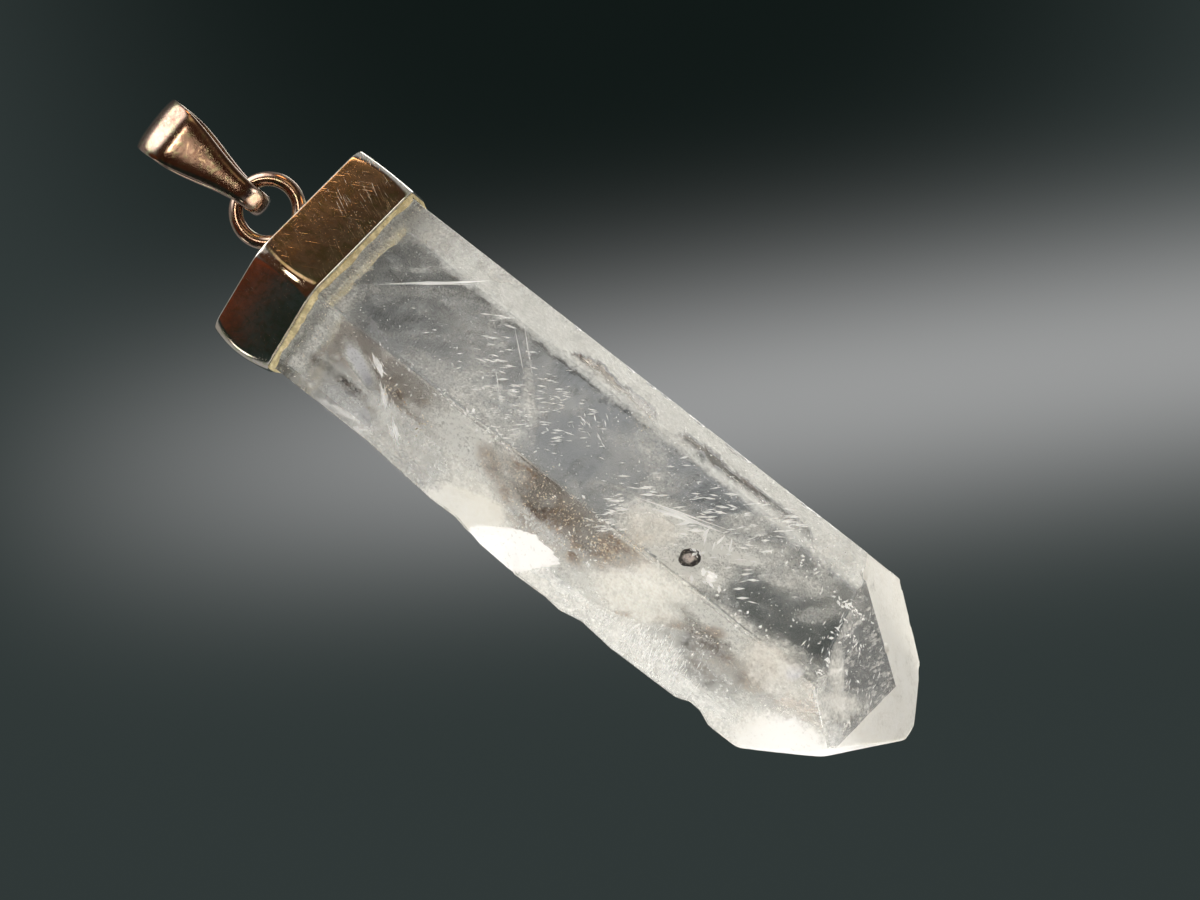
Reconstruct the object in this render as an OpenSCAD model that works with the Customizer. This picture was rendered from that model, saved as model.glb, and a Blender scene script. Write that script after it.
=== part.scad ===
// Quartz crystal pendant: a natural quartz point held in a bent-sheet silver cap,
// with a wire ring soldered on the cap and a tapered bail through the ring.
// Millimetres. The origin is the middle of the chain's way through the bail, and the
// pendant hangs down -Z. The crystal's wide face looks to the front right (-Y and +X).

/* [Crystal] */
// Width between the right side face and the left side face, in the chipped lower part
crystal_w = 13.1; // [12.7:0.05:13.5]
// Depth from the front edge to the back edge
crystal_d = 10.5; // [10:0.1:11]
// Distance from the hanging line to the right side face
crystal_right = 5.6; // [5.4:0.05:5.8]
// Sideways place of the front edge, left of the hanging line
front_edge_x = -2; // [-2.3:0.1:-1.7]
// Sideways place of the back edge
back_edge_x = 2.5; // [2.2:0.1:2.8]
// Depth of the levels at which the tip's faces start, below the top of the cap
tip_level = 38; // [36:0.5:40]
// Angle between a natural tip face and the length of the crystal
tip_lean = 38.2; // [37:0.1:40]
// Angle between the large front tip face and the length of the crystal
wide_tip_lean = 44.7; // [44:0.1:46]
// Direction that the large front tip face looks to, seen from above
wide_tip_turn = -45; // [-48:0.5:-42]

/* [Cap] */
// Height of the cap
cap_h = 3.9; // [3.5:0.1:4.5]
// Thickness of the cap's walls
cap_wall = 0.35; // [0.3:0.05:0.45]
// Thickness of the cap's flat top
cap_top = 0.5; // [0.4:0.05:0.7]
// Radius of the bends between the cap's walls
bend_r = 0.85; // [0.7:0.05:0.9]
// Chamfer round the cap's top edge
cap_chamfer = 0.22; // [0.15:0.01:0.25]

/* [Ring] */
// Outer diameter of the wire ring
ring_d = 4.5; // [4.4:0.1:4.8]
// Diameter of the ring's wire
wire_d = 0.85; // [0.8:0.05:0.9]
// Height of the solder round the ring's foot
solder_h = 0.5; // [0.4:0.05:0.6]

/* [Bail] */
// Distance from the ring's top wire to the middle of the chain's way
bail_reach = 4.5; // [4.2:0.1:5]
// Outer radius of the bail's upper round
bail_top_r = 2.1; // [2:0.05:2.3]
// Thickness of the bail at the upper round
bail_sheet = 0.65; // [0.55:0.05:0.75]
// Thickness of the bail where it passes through the ring
bail_foot = 1.0; // [0.9:0.05:1.05]
// Width of the bail where it passes through the ring
bail_foot_w = 1.4; // [1.3:0.05:1.4]
// Greatest width of the bail, near its top
bail_w = 3.5; // [3.2:0.1:4]

/* [Fits] */
// Gap between the crystal and the cap, and round the line of glue
seat_gap = 0.05; // [0.04:0.01:0.06]
// Clearance between the ring's wire and the bail
swing_gap = 0.27; // [0.25:0.01:0.28]

/* [Hidden] */
fine = 48;
big = 40;
eps = 0.01;

// Levels down the hanging line: the ring's top wire, its middle, the cap's top and mouth,
// and the crystal's upper end. The ring's foot sinks a little into the cap's top.
ring_sink = 0.06;
wire_z = -bail_reach;
ring_z = wire_z - (ring_d - wire_d) / 2;
cap_z = ring_z - ring_d / 2 + ring_sink;
mouth_z = cap_z - cap_h;
stone_z = cap_z - cap_top - seat_gap;
// Length of the prism before its tip is cut
stone_len = 46;

// Height and width of the line of glue that shows under the cap's mouth
glue_h = 0.42;
glue_w = 0.2;

// Directions of the six side faces, the front right one first, going round to the left
FRONT_RIGHT = -60;
RIGHT = 0;
BACK_RIGHT = 60;
BACK_LEFT = 120;
LEFT = 180;
FRONT_LEFT = 240;
crystal_left = crystal_w - crystal_right;
upper_left = crystal_left - 0.8;

// Distance of a face with direction a from the hanging line, through a point
function reach_of(a, p) = p[0] * cos(a) + p[1] * sin(a);
front_edge = [front_edge_x, -crystal_d / 2];
back_edge = [back_edge_x, crystal_d / 2];

// Side faces: [direction, distance from the hanging line]
function side_faces(left) = [
    [FRONT_RIGHT, reach_of(FRONT_RIGHT, front_edge)],
    [RIGHT, crystal_right],
    [BACK_RIGHT, reach_of(BACK_RIGHT, back_edge)],
    [BACK_LEFT, reach_of(BACK_LEFT, back_edge)],
    [LEFT, left],
    [FRONT_LEFT, reach_of(FRONT_LEFT, front_edge)]
];

// Corner where two side faces meet, each moved outwards by grow
function corner(f, g, grow) =
    let (s = sin(g[0] - f[0]), p = f[1] + grow, q = g[1] + grow)
    [(p * sin(g[0]) - q * sin(f[0])) / s, (q * cos(f[0]) - p * cos(g[0])) / s];

// Outline of the section, moved outwards by grow
function outline(faces, grow) = [
    for (i = [0 : len(faces) - 1]) corner(faces[i], faces[(i + 1) % len(faces)], grow)
];

// The same outline with its corners bent to radius r, in equal steps of the turn
bend_steps = 6;
function bent_outline(faces, grow, r) = [
    for (i = [0 : len(faces) - 1])
    let (f = faces[i], g = faces[(i + 1) % len(faces)], c = corner(f, g, grow - r))
    for (k = [0 : bend_steps])
    let (a = f[0] + (g[0] - f[0] + (g[0] < f[0] ? 360 : 0)) * k / bend_steps)
    c + r * [cos(a), sin(a)]
];

// Tip faces: [direction, lean from the length, level where the face meets the hanging line].
// The wide face and the left one each bend to a steeper face at the end.
tip_faces = [
    [wide_tip_turn, wide_tip_lean, tip_level + 4.05],
    [wide_tip_turn, wide_tip_lean + 4.1, tip_level + 4.12],
    [wide_tip_turn + 21, wide_tip_lean - 0.8, tip_level + 4.65],
    [BACK_RIGHT, tip_lean, tip_level + 11.8],
    [BACK_LEFT, tip_lean, tip_level + 10.7],
    [LEFT, tip_lean - 5.5, tip_level + 11.5],
    [LEFT, tip_lean + 13.1, tip_level + 7.75]
];

// Broken left edge, seen from the front: [level, distance from the hanging line]
broken_edge = [
    [-5, upper_left], [11, upper_left], [15.8, upper_left + 0.35], [17.6, upper_left + 0.3],
    [19.6, upper_left + 0.7], [21.5, crystal_left], [24.3, crystal_left - 0.1],
    [25.4, crystal_left], [26.8, crystal_left - 0.28], [29, crystal_left - 0.1],
    [33.6, crystal_left - 0.2], [34.4, crystal_left - 0.5], [35.2, crystal_left - 0.45],
    [36, crystal_left - 0.1], [tip_level + 1, crystal_left - 0.1]
];

// Shell-shaped chips: [x, y, level, radius of the break]
chips = [
    [-8.9, -4.4, 20.9, 3.1],
    [-9.4, 6.4, 27.0, 3.4],
    [-8.0, -4.9, 31.6, 1.9],
    [-9.3, 6.0, 14.5, 3.0],
    [7.3, -1.6, 27.5, 2.0],
    [7.6, 5.3, 19.0, 2.7]
];

// A block whose face passes through the hanging line at this level and leans from it
module beyond(face) {
    translate([0, 0, cap_z - face[2]])
        rotate([0, 0, face[0]])
            rotate([0, face[1], 0])
                translate([0, -big / 2, -big / 2])
                    cube(big);
}

module crystal() {
    lower = side_faces(crystal_left);
    color([0.88, 0.89, 0.88])
        difference() {
            translate([0, 0, stone_z - stone_len])
                linear_extrude(stone_len)
                    polygon(outline(lower, 0));
            for (face = tip_faces) beyond(face);
            broken_side();
            for (c = chips)
                translate([c[0], c[1], cap_z - c[2]])
                    sphere(c[3], $fn = fine);
        }
}

// What is missing outside the broken left edge, cut straight through from front to back
module broken_side() {
    last = len(broken_edge) - 1;
    translate([0, big / 2, cap_z])
        rotate([90, 0, 0])
            linear_extrude(big)
                polygon([
                    [-big, -broken_edge[0][0]],
                    for (e = broken_edge) [-e[1], -e[0]],
                    [-crystal_left - eps, -broken_edge[last][0] - eps],
                    [-big, -broken_edge[last][0] - eps]
                ]);
}

module glue_line() {
    faces = side_faces(upper_left);
    color([0.72, 0.66, 0.48])
        translate([0, 0, mouth_z - seat_gap - glue_h])
            linear_extrude(glue_h)
                difference() {
                    polygon(bent_outline(faces, seat_gap + glue_w, glue_w));
                    polygon(outline(faces, seat_gap));
                }
}

module cap() {
    faces = side_faces(upper_left);
    inside = seat_gap;
    outside = inside + cap_wall;
    color([0.80, 0.79, 0.77]) {
        difference() {
            translate([0, 0, mouth_z])
                linear_extrude(cap_h)
                    polygon(bent_outline(faces, outside, bend_r));
            translate([0, 0, mouth_z - eps])
                linear_extrude(cap_h - cap_top + eps)
                    polygon(outline(faces, inside));
            for (f = faces) chamfer(f, outside);
        }
        ring();
        solder();
    }
}

// Cuts the top edge of one wall of the cap at 45 degrees
module chamfer(face, outside) {
    translate([0, 0, cap_z])
        rotate([0, 0, face[0]])
            translate([face[1] + outside - cap_chamfer, 0, 0])
                rotate([0, -45, 0])
                    translate([0, -big / 2, -big / 2])
                        cube(big);
}

module ring() {
    translate([0, 0, ring_z])
        rotate([90, 0, 0])
            rotate_extrude($fn = fine)
                translate([(ring_d - wire_d) / 2, 0])
                    circle(d = wire_d, $fn = fine / 2);
}

// Solder drawn up round the ring's foot, a hollow curve from the cap to the wire
module solder() {
    foot_r = 1.0;
    neck_r = wire_d / 2 + 0.02;
    steps = 5;
    translate([0, 0, cap_z - eps])
        rotate_extrude($fn = fine)
            polygon([
                [0, 0],
                for (k = [0 : steps])
                    let (a = 90 * k / steps)
                    [foot_r - (foot_r - neck_r) * sin(a), solder_h * (1 - cos(a))],
                [0, solder_h]
            ]);
}

module bail() {
    wire_r = wire_d / 2;
    foot_in = wire_r + swing_gap;
    color([0.80, 0.79, 0.77])
        intersection() {
            rotate([90, 0, 90])
                translate([0, 0, -bail_w])
                    linear_extrude(2 * bail_w)
                        difference() {
                            drop_outline(foot_in + bail_foot, bail_top_r);
                            drop_outline(foot_in, bail_top_r - bail_sheet);
                        }
            translate([0, bail_w, 0])
                rotate([90, 0, 0])
                    linear_extrude(2 * bail_w)
                        polygon(bail_face());
        }
}

// A round at the ring's wire and a larger one at the chain's way, joined by straight sides.
// The sides end a hair inside the rounds, so that they cross them in clean edges.
module drop_outline(low_r, high_r) {
    rise = asin((high_r - low_r) / bail_reach);
    just_in = 0.9995;
    right = just_in * [cos(rise), -sin(rise)];
    left = [-right[0], right[1]];
    low = [0, wire_z];
    union() {
        translate(low) circle(low_r, $fn = fine);
        circle(high_r, $fn = fine);
        polygon([low + low_r * right, high_r * right, high_r * left, low + low_r * left]);
    }
}

// Front view of the bail: narrow at the foot, widening in a smooth curve to the top
function bail_half_w(f) = bail_foot_w / 2 + (bail_w - bail_foot_w) / 2 * (1 - cos(180 * f)) / 2;
function bail_side(sign) = [
    for (k = [0 : 10])
    let (f = k / 10, low = wire_z - wire_d / 2 - swing_gap, top = bail_top_r * 0.6)
    [sign * bail_half_w(f), low + (top - low) * f]
];
function reversed(list) = [for (i = [len(list) - 1 : -1 : 0]) list[i]];
function bail_face() = concat(
    [[-bail_foot_w / 2, wire_z - 3]],
    [[bail_foot_w / 2, wire_z - 3]],
    bail_side(1),
    [[bail_w / 2, bail_top_r + 1], [-bail_w / 2, bail_top_r + 1]],
    reversed(bail_side(-1))
);

bail();
cap();
glue_line();
crystal();
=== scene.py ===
"""Looks of a quartz pendant: a natural quartz point in a bent-sheet silver cap, with a wire
ring and a tapered bail. The shapes are worked out in millimetres in the part's own frame:
the chain runs along X through the origin and the pendant hangs down -Z. A level is a
depth below the top of the cap."""
import math
import bpy
import numpy as np
from mathutils import Matrix, Vector


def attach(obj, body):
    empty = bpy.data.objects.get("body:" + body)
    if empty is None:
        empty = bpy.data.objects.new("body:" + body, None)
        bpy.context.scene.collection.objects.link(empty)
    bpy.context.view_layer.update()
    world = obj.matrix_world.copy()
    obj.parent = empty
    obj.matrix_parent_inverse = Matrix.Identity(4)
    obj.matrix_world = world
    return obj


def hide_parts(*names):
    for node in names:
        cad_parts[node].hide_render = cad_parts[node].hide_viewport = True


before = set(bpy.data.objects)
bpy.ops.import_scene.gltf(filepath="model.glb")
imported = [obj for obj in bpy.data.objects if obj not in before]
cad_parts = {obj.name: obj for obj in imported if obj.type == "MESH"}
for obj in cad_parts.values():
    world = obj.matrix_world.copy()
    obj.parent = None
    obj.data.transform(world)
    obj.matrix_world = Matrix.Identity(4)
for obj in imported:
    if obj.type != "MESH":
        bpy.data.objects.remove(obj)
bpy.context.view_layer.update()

MM = 0.001
FAR = 99.0
# Points that round to the same step, of so many to the millimetre, are joined
JOIN_STEPS = 2e4

# Levels and sizes of the part, in millimetres
WIRE_Z, RING_Z, CAP_Z, MOUTH_Z = -4.5, -6.325, -8.515, -12.415
RING_RADIUS, WIRE_RADIUS = 1.825, 0.425
CAP_GROW, CAP_WALL, CAP_TOP, CAP_BEND = 0.4, 0.35, 0.5, 0.85
BAIL_TOP, BAIL_SHEET, BAIL_FOOT, BAIL_GAP = 2.1, 0.65, 1.0, 0.695
BAIL_WIDTH, BAIL_FOOT_WIDTH = 3.5, 1.4
STONE_TOP, STONE_END = 0.55, 44.705
STONE_LEFT, STONE_RIGHT, UPPER_LEFT = 7.5, 5.6, 6.7
FRONT_EDGE, BACK_EDGE = (-2.0, -5.25), (2.5, 5.25)

# Directions that the six side faces look to, and those of all the crystal's walls, going
# round from the front right face
SIDE_TURNS = [-60, 0, 60, 120, 180, 240]
WALLS = {"front_right": -60, "wide_tip": -45, "narrow_tip": -24, "right": 0,
         "back_right": 60, "back_left": 120, "left": 180, "front_left": 240}
# Columns of the crystal's surface on each wall
WALL_COLUMNS = {"front_right": 46, "wide_tip": 30, "narrow_tip": 24, "right": 22,
                "back_right": 22, "back_left": 50, "left": 16, "front_left": 54}
# Tip faces: wall, lean from the length in degrees, level where it meets the hanging line
TIP_FACES = [("wide_tip", 44.7, 42.05), ("wide_tip", 48.8, 42.12), ("narrow_tip", 43.9, 42.65),
             ("back_right", 38.2, 49.8), ("back_left", 38.2, 48.7), ("left", 32.7, 49.5),
             ("left", 51.3, 45.75)]
# Levels from which each tip wall is rough
ROUGH_FROM = {"wide_tip": 42.57, "narrow_tip": 30, "back_right": 42.43, "back_left": 44.51,
              "left": 37.97}
# The broken left edge: level, distance from the hanging line
BROKEN_EDGE = np.array([
    (-5, 6.7), (11, 6.7), (15.8, 7.05), (17.6, 7.0), (19.6, 7.4), (21.5, 7.5), (24.3, 7.4),
    (25.4, 7.5), (26.8, 7.22), (29, 7.4), (33.6, 7.3), (34.4, 7.0), (35.2, 7.05),
    (36, 7.4), (50, 7.4)])
# Shell-shaped chips: x, y, level, radius of the break
CHIPS = [(-8.9, -4.4, 20.9, 3.1), (-9.4, 6.4, 27.0, 3.4), (-8.0, -4.9, 31.6, 1.9),
         (-9.3, 6.0, 14.5, 3.0), (7.3, -1.6, 27.5, 2.0), (7.6, 5.3, 19.0, 2.7)]
# Corners of the bright chip facet on the front left face: across, level
BRIGHT_CHIP = np.array([(-9.0, 17.6), (-6.6, 18.9), (-5.4, 20.9), (-5.02, 21.9), (-5.12, 23.2),
                        (-5.38, 24.1), (-9.0, 20.7)])
# How deep that facet lies, and the level down to which it goes on over the broken left side
CHIP_SINK, CHIP_TURN = 0.1, 22


def unit(turn):
    """The level direction that looks to an angle in degrees from +X, as x and y."""
    return np.stack([np.cos(np.radians(turn)), np.sin(np.radians(turn))], -1)


def lattice_noise(points, size, seed):
    """A smooth random field from 0 to 1: random numbers at the corners of cubes of a size,
    blended between the corners by a smooth step along each axis."""
    place = points / size + 500.0
    cell = np.floor(place).astype(np.int64)
    part = place - cell
    part = part * part * (3 - 2 * part)
    total = np.zeros(len(points))
    for corner in range(8):
        step = np.array([corner & 1, corner >> 1 & 1, corner >> 2 & 1])
        c = cell + step
        mixed = c[:, 0] * 73856093 ^ c[:, 1] * 19349663 ^ c[:, 2] * 83492791 ^ seed * 265443577
        mixed = (mixed ^ mixed >> 13) * 1274126177 & 0xffffffff
        value = ((mixed ^ mixed >> 15) & 0xffff) / 65535
        total += value * np.prod(np.where(step, part, 1 - part), axis=1)
    return total


def cloud(points, size, seed, layers=3):
    """Layers of the random field, each half the size and half the strength of the last."""
    shares = 0.5 ** np.arange(layers)
    return sum(s * lattice_noise(points, size * s, seed + 7 * i)
               for i, s in enumerate(shares)) / shares.sum()


def smooth_step(x, low, high):
    """0 below low, 1 above high, and a smooth ramp between them."""
    t = np.clip((x - low) / (high - low), 0, 1)
    return t * t * (3 - 2 * t)


def grid_triangles(rows, columns, closed=True, looped=False):
    """Two triangles for each cell of a grid. When closed, the last column joins the first,
    and when looped, the last row does."""
    i, j = np.meshgrid(np.arange(rows if looped else rows - 1),
                       np.arange(columns if closed else columns - 1), indexing="ij")
    k, m = (j + 1) % columns, (i + 1) % rows
    a, b, c, d = i * columns + j, i * columns + k, m * columns + k, m * columns + j
    return np.concatenate([np.stack([a, b, c], -1).reshape(-1, 3),
                           np.stack([a, c, d], -1).reshape(-1, 3)])


def welded(points, triangles, marks):
    """Joins points that coincide, and leaves out the triangles that shrink to a line."""
    _, first, place = np.unique(np.round(points * JOIN_STEPS).astype(np.int64), axis=0,
                                return_index=True, return_inverse=True)
    place = place.ravel()
    triangles = place[triangles]
    whole = ((triangles[:, 0] != triangles[:, 1]) & (triangles[:, 1] != triangles[:, 2])
             & (triangles[:, 2] != triangles[:, 0]))
    count = np.bincount(place)
    marks = {name: np.bincount(place, weights=m) / count for name, m in marks.items()}
    return points[first], triangles[whole], marks


def add_piece(name, points, triangles, material, body="drop", slot="quartz", stands_for=(),
              marks=None, crease=None, is_shell=True):
    """Makes a mesh of points in millimetres, turned outwards if it is a closed shell."""
    points, triangles, marks = welded(points, triangles, marks or {})
    if is_shell:
        a, b, c = (points[triangles[:, i]] for i in range(3))
        if np.einsum("ij,ij->i", a, np.cross(b, c)).sum() < 0:
            triangles = triangles[:, ::-1]
    mesh = bpy.data.meshes.new(name)
    mesh.vertices.add(len(points))
    mesh.vertices.foreach_set("co", (points * MM).astype(np.float32).ravel())
    mesh.loops.add(triangles.size)
    mesh.loops.foreach_set("vertex_index", triangles.astype(np.int32).ravel())
    mesh.polygons.add(len(triangles))
    mesh.polygons.foreach_set("loop_start", np.arange(0, triangles.size, 3, dtype=np.int32))
    mesh.update(calc_edges=True)
    mesh.validate()
    for key, values in marks.items():
        mesh.attributes.new(key, "FLOAT", "POINT").data.foreach_set(
            "value", values.astype(np.float32))
    mesh.shade_smooth()
    if crease:
        mesh.set_sharp_from_angle(angle=math.radians(crease))
    mesh.materials.append(material)
    piece = bpy.data.objects.new(name, mesh)
    bpy.context.scene.collection.objects.link(piece)
    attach(piece, body)
    if stands_for:
        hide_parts(*stands_for)
    return piece


class Signal:
    """A value on its way through a material. Sums, products and powers of signals add their
    Math nodes, and make adds any other node."""

    def __init__(self, tree, socket=None):
        self.tree, self.socket = tree, socket

    def make(self, kind, settings=None, inputs=None, output=0):
        """Adds a node of a kind, sets its settings, then fills its inputs by name or number."""
        node = self.tree.nodes.new(kind)
        for key, value in (settings or {}).items():
            if key == "stops":
                ramp = node.color_ramp
                while len(ramp.elements) < len(value):
                    ramp.elements.new(0.5)
                for element, (place, colour) in zip(ramp.elements, value):
                    element.position = place
                    element.color = (*colour, 1) if len(colour) == 3 else colour
            else:
                setattr(node, key, value)
        for key, value in (inputs or {}).items():
            target = node.inputs[key] if isinstance(key, int) else next(
                s for s in node.inputs if s.name == key and s.enabled)
            if isinstance(value, Signal):
                self.tree.links.new(value.socket, target)
            elif hasattr(target.default_value, "__len__"):
                target.default_value = (*value, 1) if len(target.default_value) > len(
                    value) else value
            else:
                target.default_value = value
        found = (node.outputs[output] if isinstance(output, int) and len(node.outputs) < 3
                 else next(s for s in node.outputs if s.enabled and output in (0, s.name)))
        return Signal(self.tree, found)

    def math(self, operation, *terms):
        return self.make("ShaderNodeMath", {"operation": operation},
                         dict(enumerate([self, *terms])))

    def __add__(self, other):
        return self.math("ADD", other)

    def __sub__(self, other):
        return self.math("SUBTRACT", other)

    def __mul__(self, other):
        return self.math("MULTIPLY", other)

    def __truediv__(self, other):
        return self.math("DIVIDE", other)

    def __pow__(self, other):
        return self.math("POWER", other)

    def __rsub__(self, other):
        return self.make("ShaderNodeMath", {"operation": "SUBTRACT"}, {0: other, 1: self})

    __radd__, __rmul__ = __add__, __mul__

    def ramp(self, low, high):
        """0 below low and 1 above high, smooth between them."""
        return self.make("ShaderNodeMapRange", {"interpolation_type": "SMOOTHSTEP"},
                         {"Value": self, "From Min": low, "From Max": high})

    def noise(self, scale, detail=3, roughness=0.5, distortion=0):
        """Cloudy noise on this place; scale counts cells to the metre."""
        return self.make("ShaderNodeTexNoise", {}, {
            "Vector": self, "Scale": scale, "Detail": detail, "Roughness": roughness,
            "Distortion": distortion})

    def turned(self, *angles):
        """This place, turned about the three axes by angles in degrees."""
        return self.make("ShaderNodeMapping", {}, {
            "Vector": self, "Rotation": [math.radians(a) for a in angles]})

    def scaled(self, *scale):
        """This place, stretched along the three axes."""
        return self.make("ShaderNodeMapping", {}, {"Vector": self, "Scale": scale})

    def blend(self, low, high):
        """A colour between low at 0 and high at 1."""
        return self.make("ShaderNodeMix", {"data_type": "RGBA"}, {
            "Factor": self, "A": low, "B": high}, output="Result")

    def mark(self, name):
        """One of the piece's own marks, by name."""
        return self.make("ShaderNodeAttribute", {"attribute_name": name}, output="Fac")

    def bumps(self, strength, distance):
        """The surface's direction, tilted by this height."""
        return self.make("ShaderNodeBump", {}, {
            "Strength": strength, "Distance": distance, "Height": self})

    def solid(self, colour, roughness, more=None):
        """The shader of a surface, with more of its inputs by name."""
        return self.make("ShaderNodeBsdfPrincipled", {}, {
            "Base Color": colour, "Roughness": roughness, **(more or {})})

    def thin(self, colour, more=None):
        """The shader of what light comes through, as through frost or a film."""
        return self.make("ShaderNodeBsdfTranslucent", {}, {"Color": colour, **(more or {})})

    def mixed(self, share, other):
        """This shader, giving way to another one as a share goes from 0 to 1."""
        return self.make("ShaderNodeMixShader", {}, {0: share, 1: self, 2: other})

    def close(self):
        """Joins this shader to its material's output."""
        node = self.tree.nodes.new("ShaderNodeOutputMaterial")
        self.tree.links.new(self.socket, node.inputs["Surface"])


def linear(red, green, blue):
    """A colour given as it looks on a screen, from 0 to 255, in the renderer's scale."""
    return tuple(((c / 255 + 0.055) / 1.055) ** 2.4 if c > 10.3 else c / 255 / 12.92
                 for c in (red, green, blue))


def new_material(name):
    """An empty material, with its place in metres as the start of its signals."""
    material = bpy.data.materials.new(name)
    material.use_nodes = True
    material.node_tree.nodes.clear()
    place = Signal(material.node_tree).make("ShaderNodeTexCoord", output="Object")
    return material, place


# Surfaces

def reach_of(turn, point):
    """Distance from the hanging line of an upright face through a point."""
    return float(unit(turn) @ np.array(point))


def side_reaches(left):
    """Distances of the six side faces, the front right one first, going round."""
    return np.array([reach_of(-60, FRONT_EDGE), STONE_RIGHT, reach_of(60, BACK_EDGE),
                     reach_of(120, BACK_EDGE), left, reach_of(240, FRONT_EDGE)])


def wall_reaches(levels):
    """Distance of each of the walls from the hanging line at each level: the side
    face's, or the tip face's where that is less, which shrinks by the tangent of its lean."""
    front_right, right, back_right, back_left, _, front_left = side_reaches(STONE_LEFT)
    left = np.interp(levels, BROKEN_EDGE[:, 0], BROKEN_EDGE[:, 1])
    sides = {"front_right": front_right, "wide_tip": FAR, "narrow_tip": FAR, "right": right,
             "back_right": back_right, "back_left": back_left, "left": left,
             "front_left": front_left}
    reaches = []
    for wall in WALLS:
        reach = sides[wall] + 0 * levels
        for tip_wall, lean, meets in TIP_FACES:
            if tip_wall == wall:
                reach = np.minimum(reach, math.tan(math.radians(lean)) * (meets - levels))
        reaches.append(reach)
    return np.stack(reaches, -1)


def section_corners(levels):
    """Corners of the section at each level: of all points where two walls meet that lie
    within every wall, the one that reaches furthest between the directions of two
    neighbouring walls. A wall that another one hides comes out with no width."""
    turns = np.array(list(WALLS.values()), float)
    least_turn, slack = 0.01, 1e-6
    reach = wall_reaches(levels)
    first, second = np.triu_indices(len(turns), 1)
    apart = np.sin(np.radians(turns[second] - turns[first]))
    crossing = np.abs(apart) > least_turn
    first, second, apart = first[crossing], second[crossing], apart[crossing]
    f, g = np.radians(turns[first]), np.radians(turns[second])
    p, q = reach[:, first], reach[:, second]
    points = np.stack([p * np.sin(g) - q * np.sin(f), q * np.cos(f) - p * np.cos(g)], -1)
    points /= apart[None, :, None]
    outside = (points @ unit(turns).T - reach[:, None, :]).max(-1) > slack
    following = np.append(turns[1:], turns[0] + 360)
    support = points @ unit((turns + following) / 2).T
    support[outside] = -np.inf
    best = support.argmax(1)
    corners = np.take_along_axis(points, best[..., None], axis=1)
    gone = outside.all(1)
    corners[gone] = corners[~gone][-1:].mean(1, keepdims=True)
    return corners


def stone_surface():
    """The crystal's sharp surface as a grid: a row for each level, and on each row a run of
    columns along every wall from its first corner to its last, closer near the corners.
    Rows lie closer where a wall starts or ends. Gives the points and each column's wall."""
    tiny, tip_starts, side_step, tip_step = 0.02, 36.5, 0.2, 0.1
    fine = np.arange(STONE_TOP, STONE_END, tiny)
    corners = section_corners(fine)
    shown = np.linalg.norm(corners - np.roll(corners, 1, axis=1), axis=-1) > tiny
    turns = fine[1:][(shown[1:] != shown[:-1]).any(1)]
    levels = np.unique(np.round(np.concatenate(
        [np.arange(STONE_TOP, tip_starts, side_step),
         np.arange(tip_starts, STONE_END, tip_step), [STONE_END]]
        + [turns + steps * tiny for steps in (-3, -1, 1, 3)]), 3))
    levels = levels[levels <= STONE_END]
    corners = section_corners(levels)
    before = np.roll(corners, 1, axis=1)
    runs, walls = [], []
    for k, wall in enumerate(WALLS):
        count = WALL_COLUMNS[wall]
        along = (1 - np.cos(np.linspace(0, math.pi, count + 1)[:-1])) / 2
        runs.append(before[:, None, k] * (1 - along)[:, None]
                    + corners[:, None, k] * along[:, None])
        walls += [wall] * count
    rings = np.concatenate(runs, axis=1)
    heights = np.broadcast_to((CAP_Z - levels)[:, None, None], rings.shape[:2] + (1,))
    return np.concatenate([rings, heights], -1), np.array(walls)


def stone_planes():
    """Outward direction and distance from the origin of the crystal's flat faces, apart from
    the broken left one."""
    planes = []
    for turn, reach in zip(SIDE_TURNS, side_reaches(STONE_LEFT)):
        if turn != WALLS["left"]:
            planes.append((*unit(turn), 0, reach))
    for wall, lean, meets in TIP_FACES:
        c, s = math.cos(math.radians(lean)), math.sin(math.radians(lean))
        planes.append((*(unit(WALLS[wall]) * c), -s, -s * (CAP_Z - meets)))
    return np.array(planes)


def off_edge(points, edge):
    """Distance of points from the line of an upright edge."""
    return np.hypot(points[:, 0] - edge[0], points[:, 1] - edge[1])


def worn(points):
    """The sharp surface with its edges worn: each point sinks by the soft maximum of its
    heights over all faces, which is nil on a face and greatest along an edge. Noise makes
    the wear uneven, and strongest on the broken left edge."""
    planes = stone_planes()
    level = CAP_Z - points[:, 2]
    left = np.interp(level, BROKEN_EDGE[:, 0], BROKEN_EDGE[:, 1])
    height = np.column_stack([points @ planes[:, :3].T - planes[:, 3], -points[:, 0] - left])
    normals = np.vstack([planes[:, :3], [-1, 0, 0]])
    broken = smooth_step(-points[:, 0], 6.2, 7.3) * smooth_step(level, 15, 20)
    front = smooth_step(1.2 - off_edge(points, FRONT_EDGE), 0, 1)
    front *= smooth_step(level, 40.5, 39.0)
    tip = smooth_step(level, 36.5, 38)
    # Sharpness of an edge, what noise, the broken side and the tip take off it, and what the
    # crisp front edge adds
    crisp, uneven, break_wear, tip_wear, front_crisp = 60, 24, 14, 22, 4000
    sharpness = (crisp - uneven * cloud(points, 1.6, 3) - break_wear * broken - tip_wear * tip
                 + front_crisp * front)
    share = np.exp(np.clip(height * sharpness[:, None], -60, 5))
    soft = np.log(share.sum(1)) / sharpness
    slope = (share / share.sum(1, keepdims=True)) @ normals
    return points - slope * (soft / (slope ** 2).sum(1))[:, None]


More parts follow.
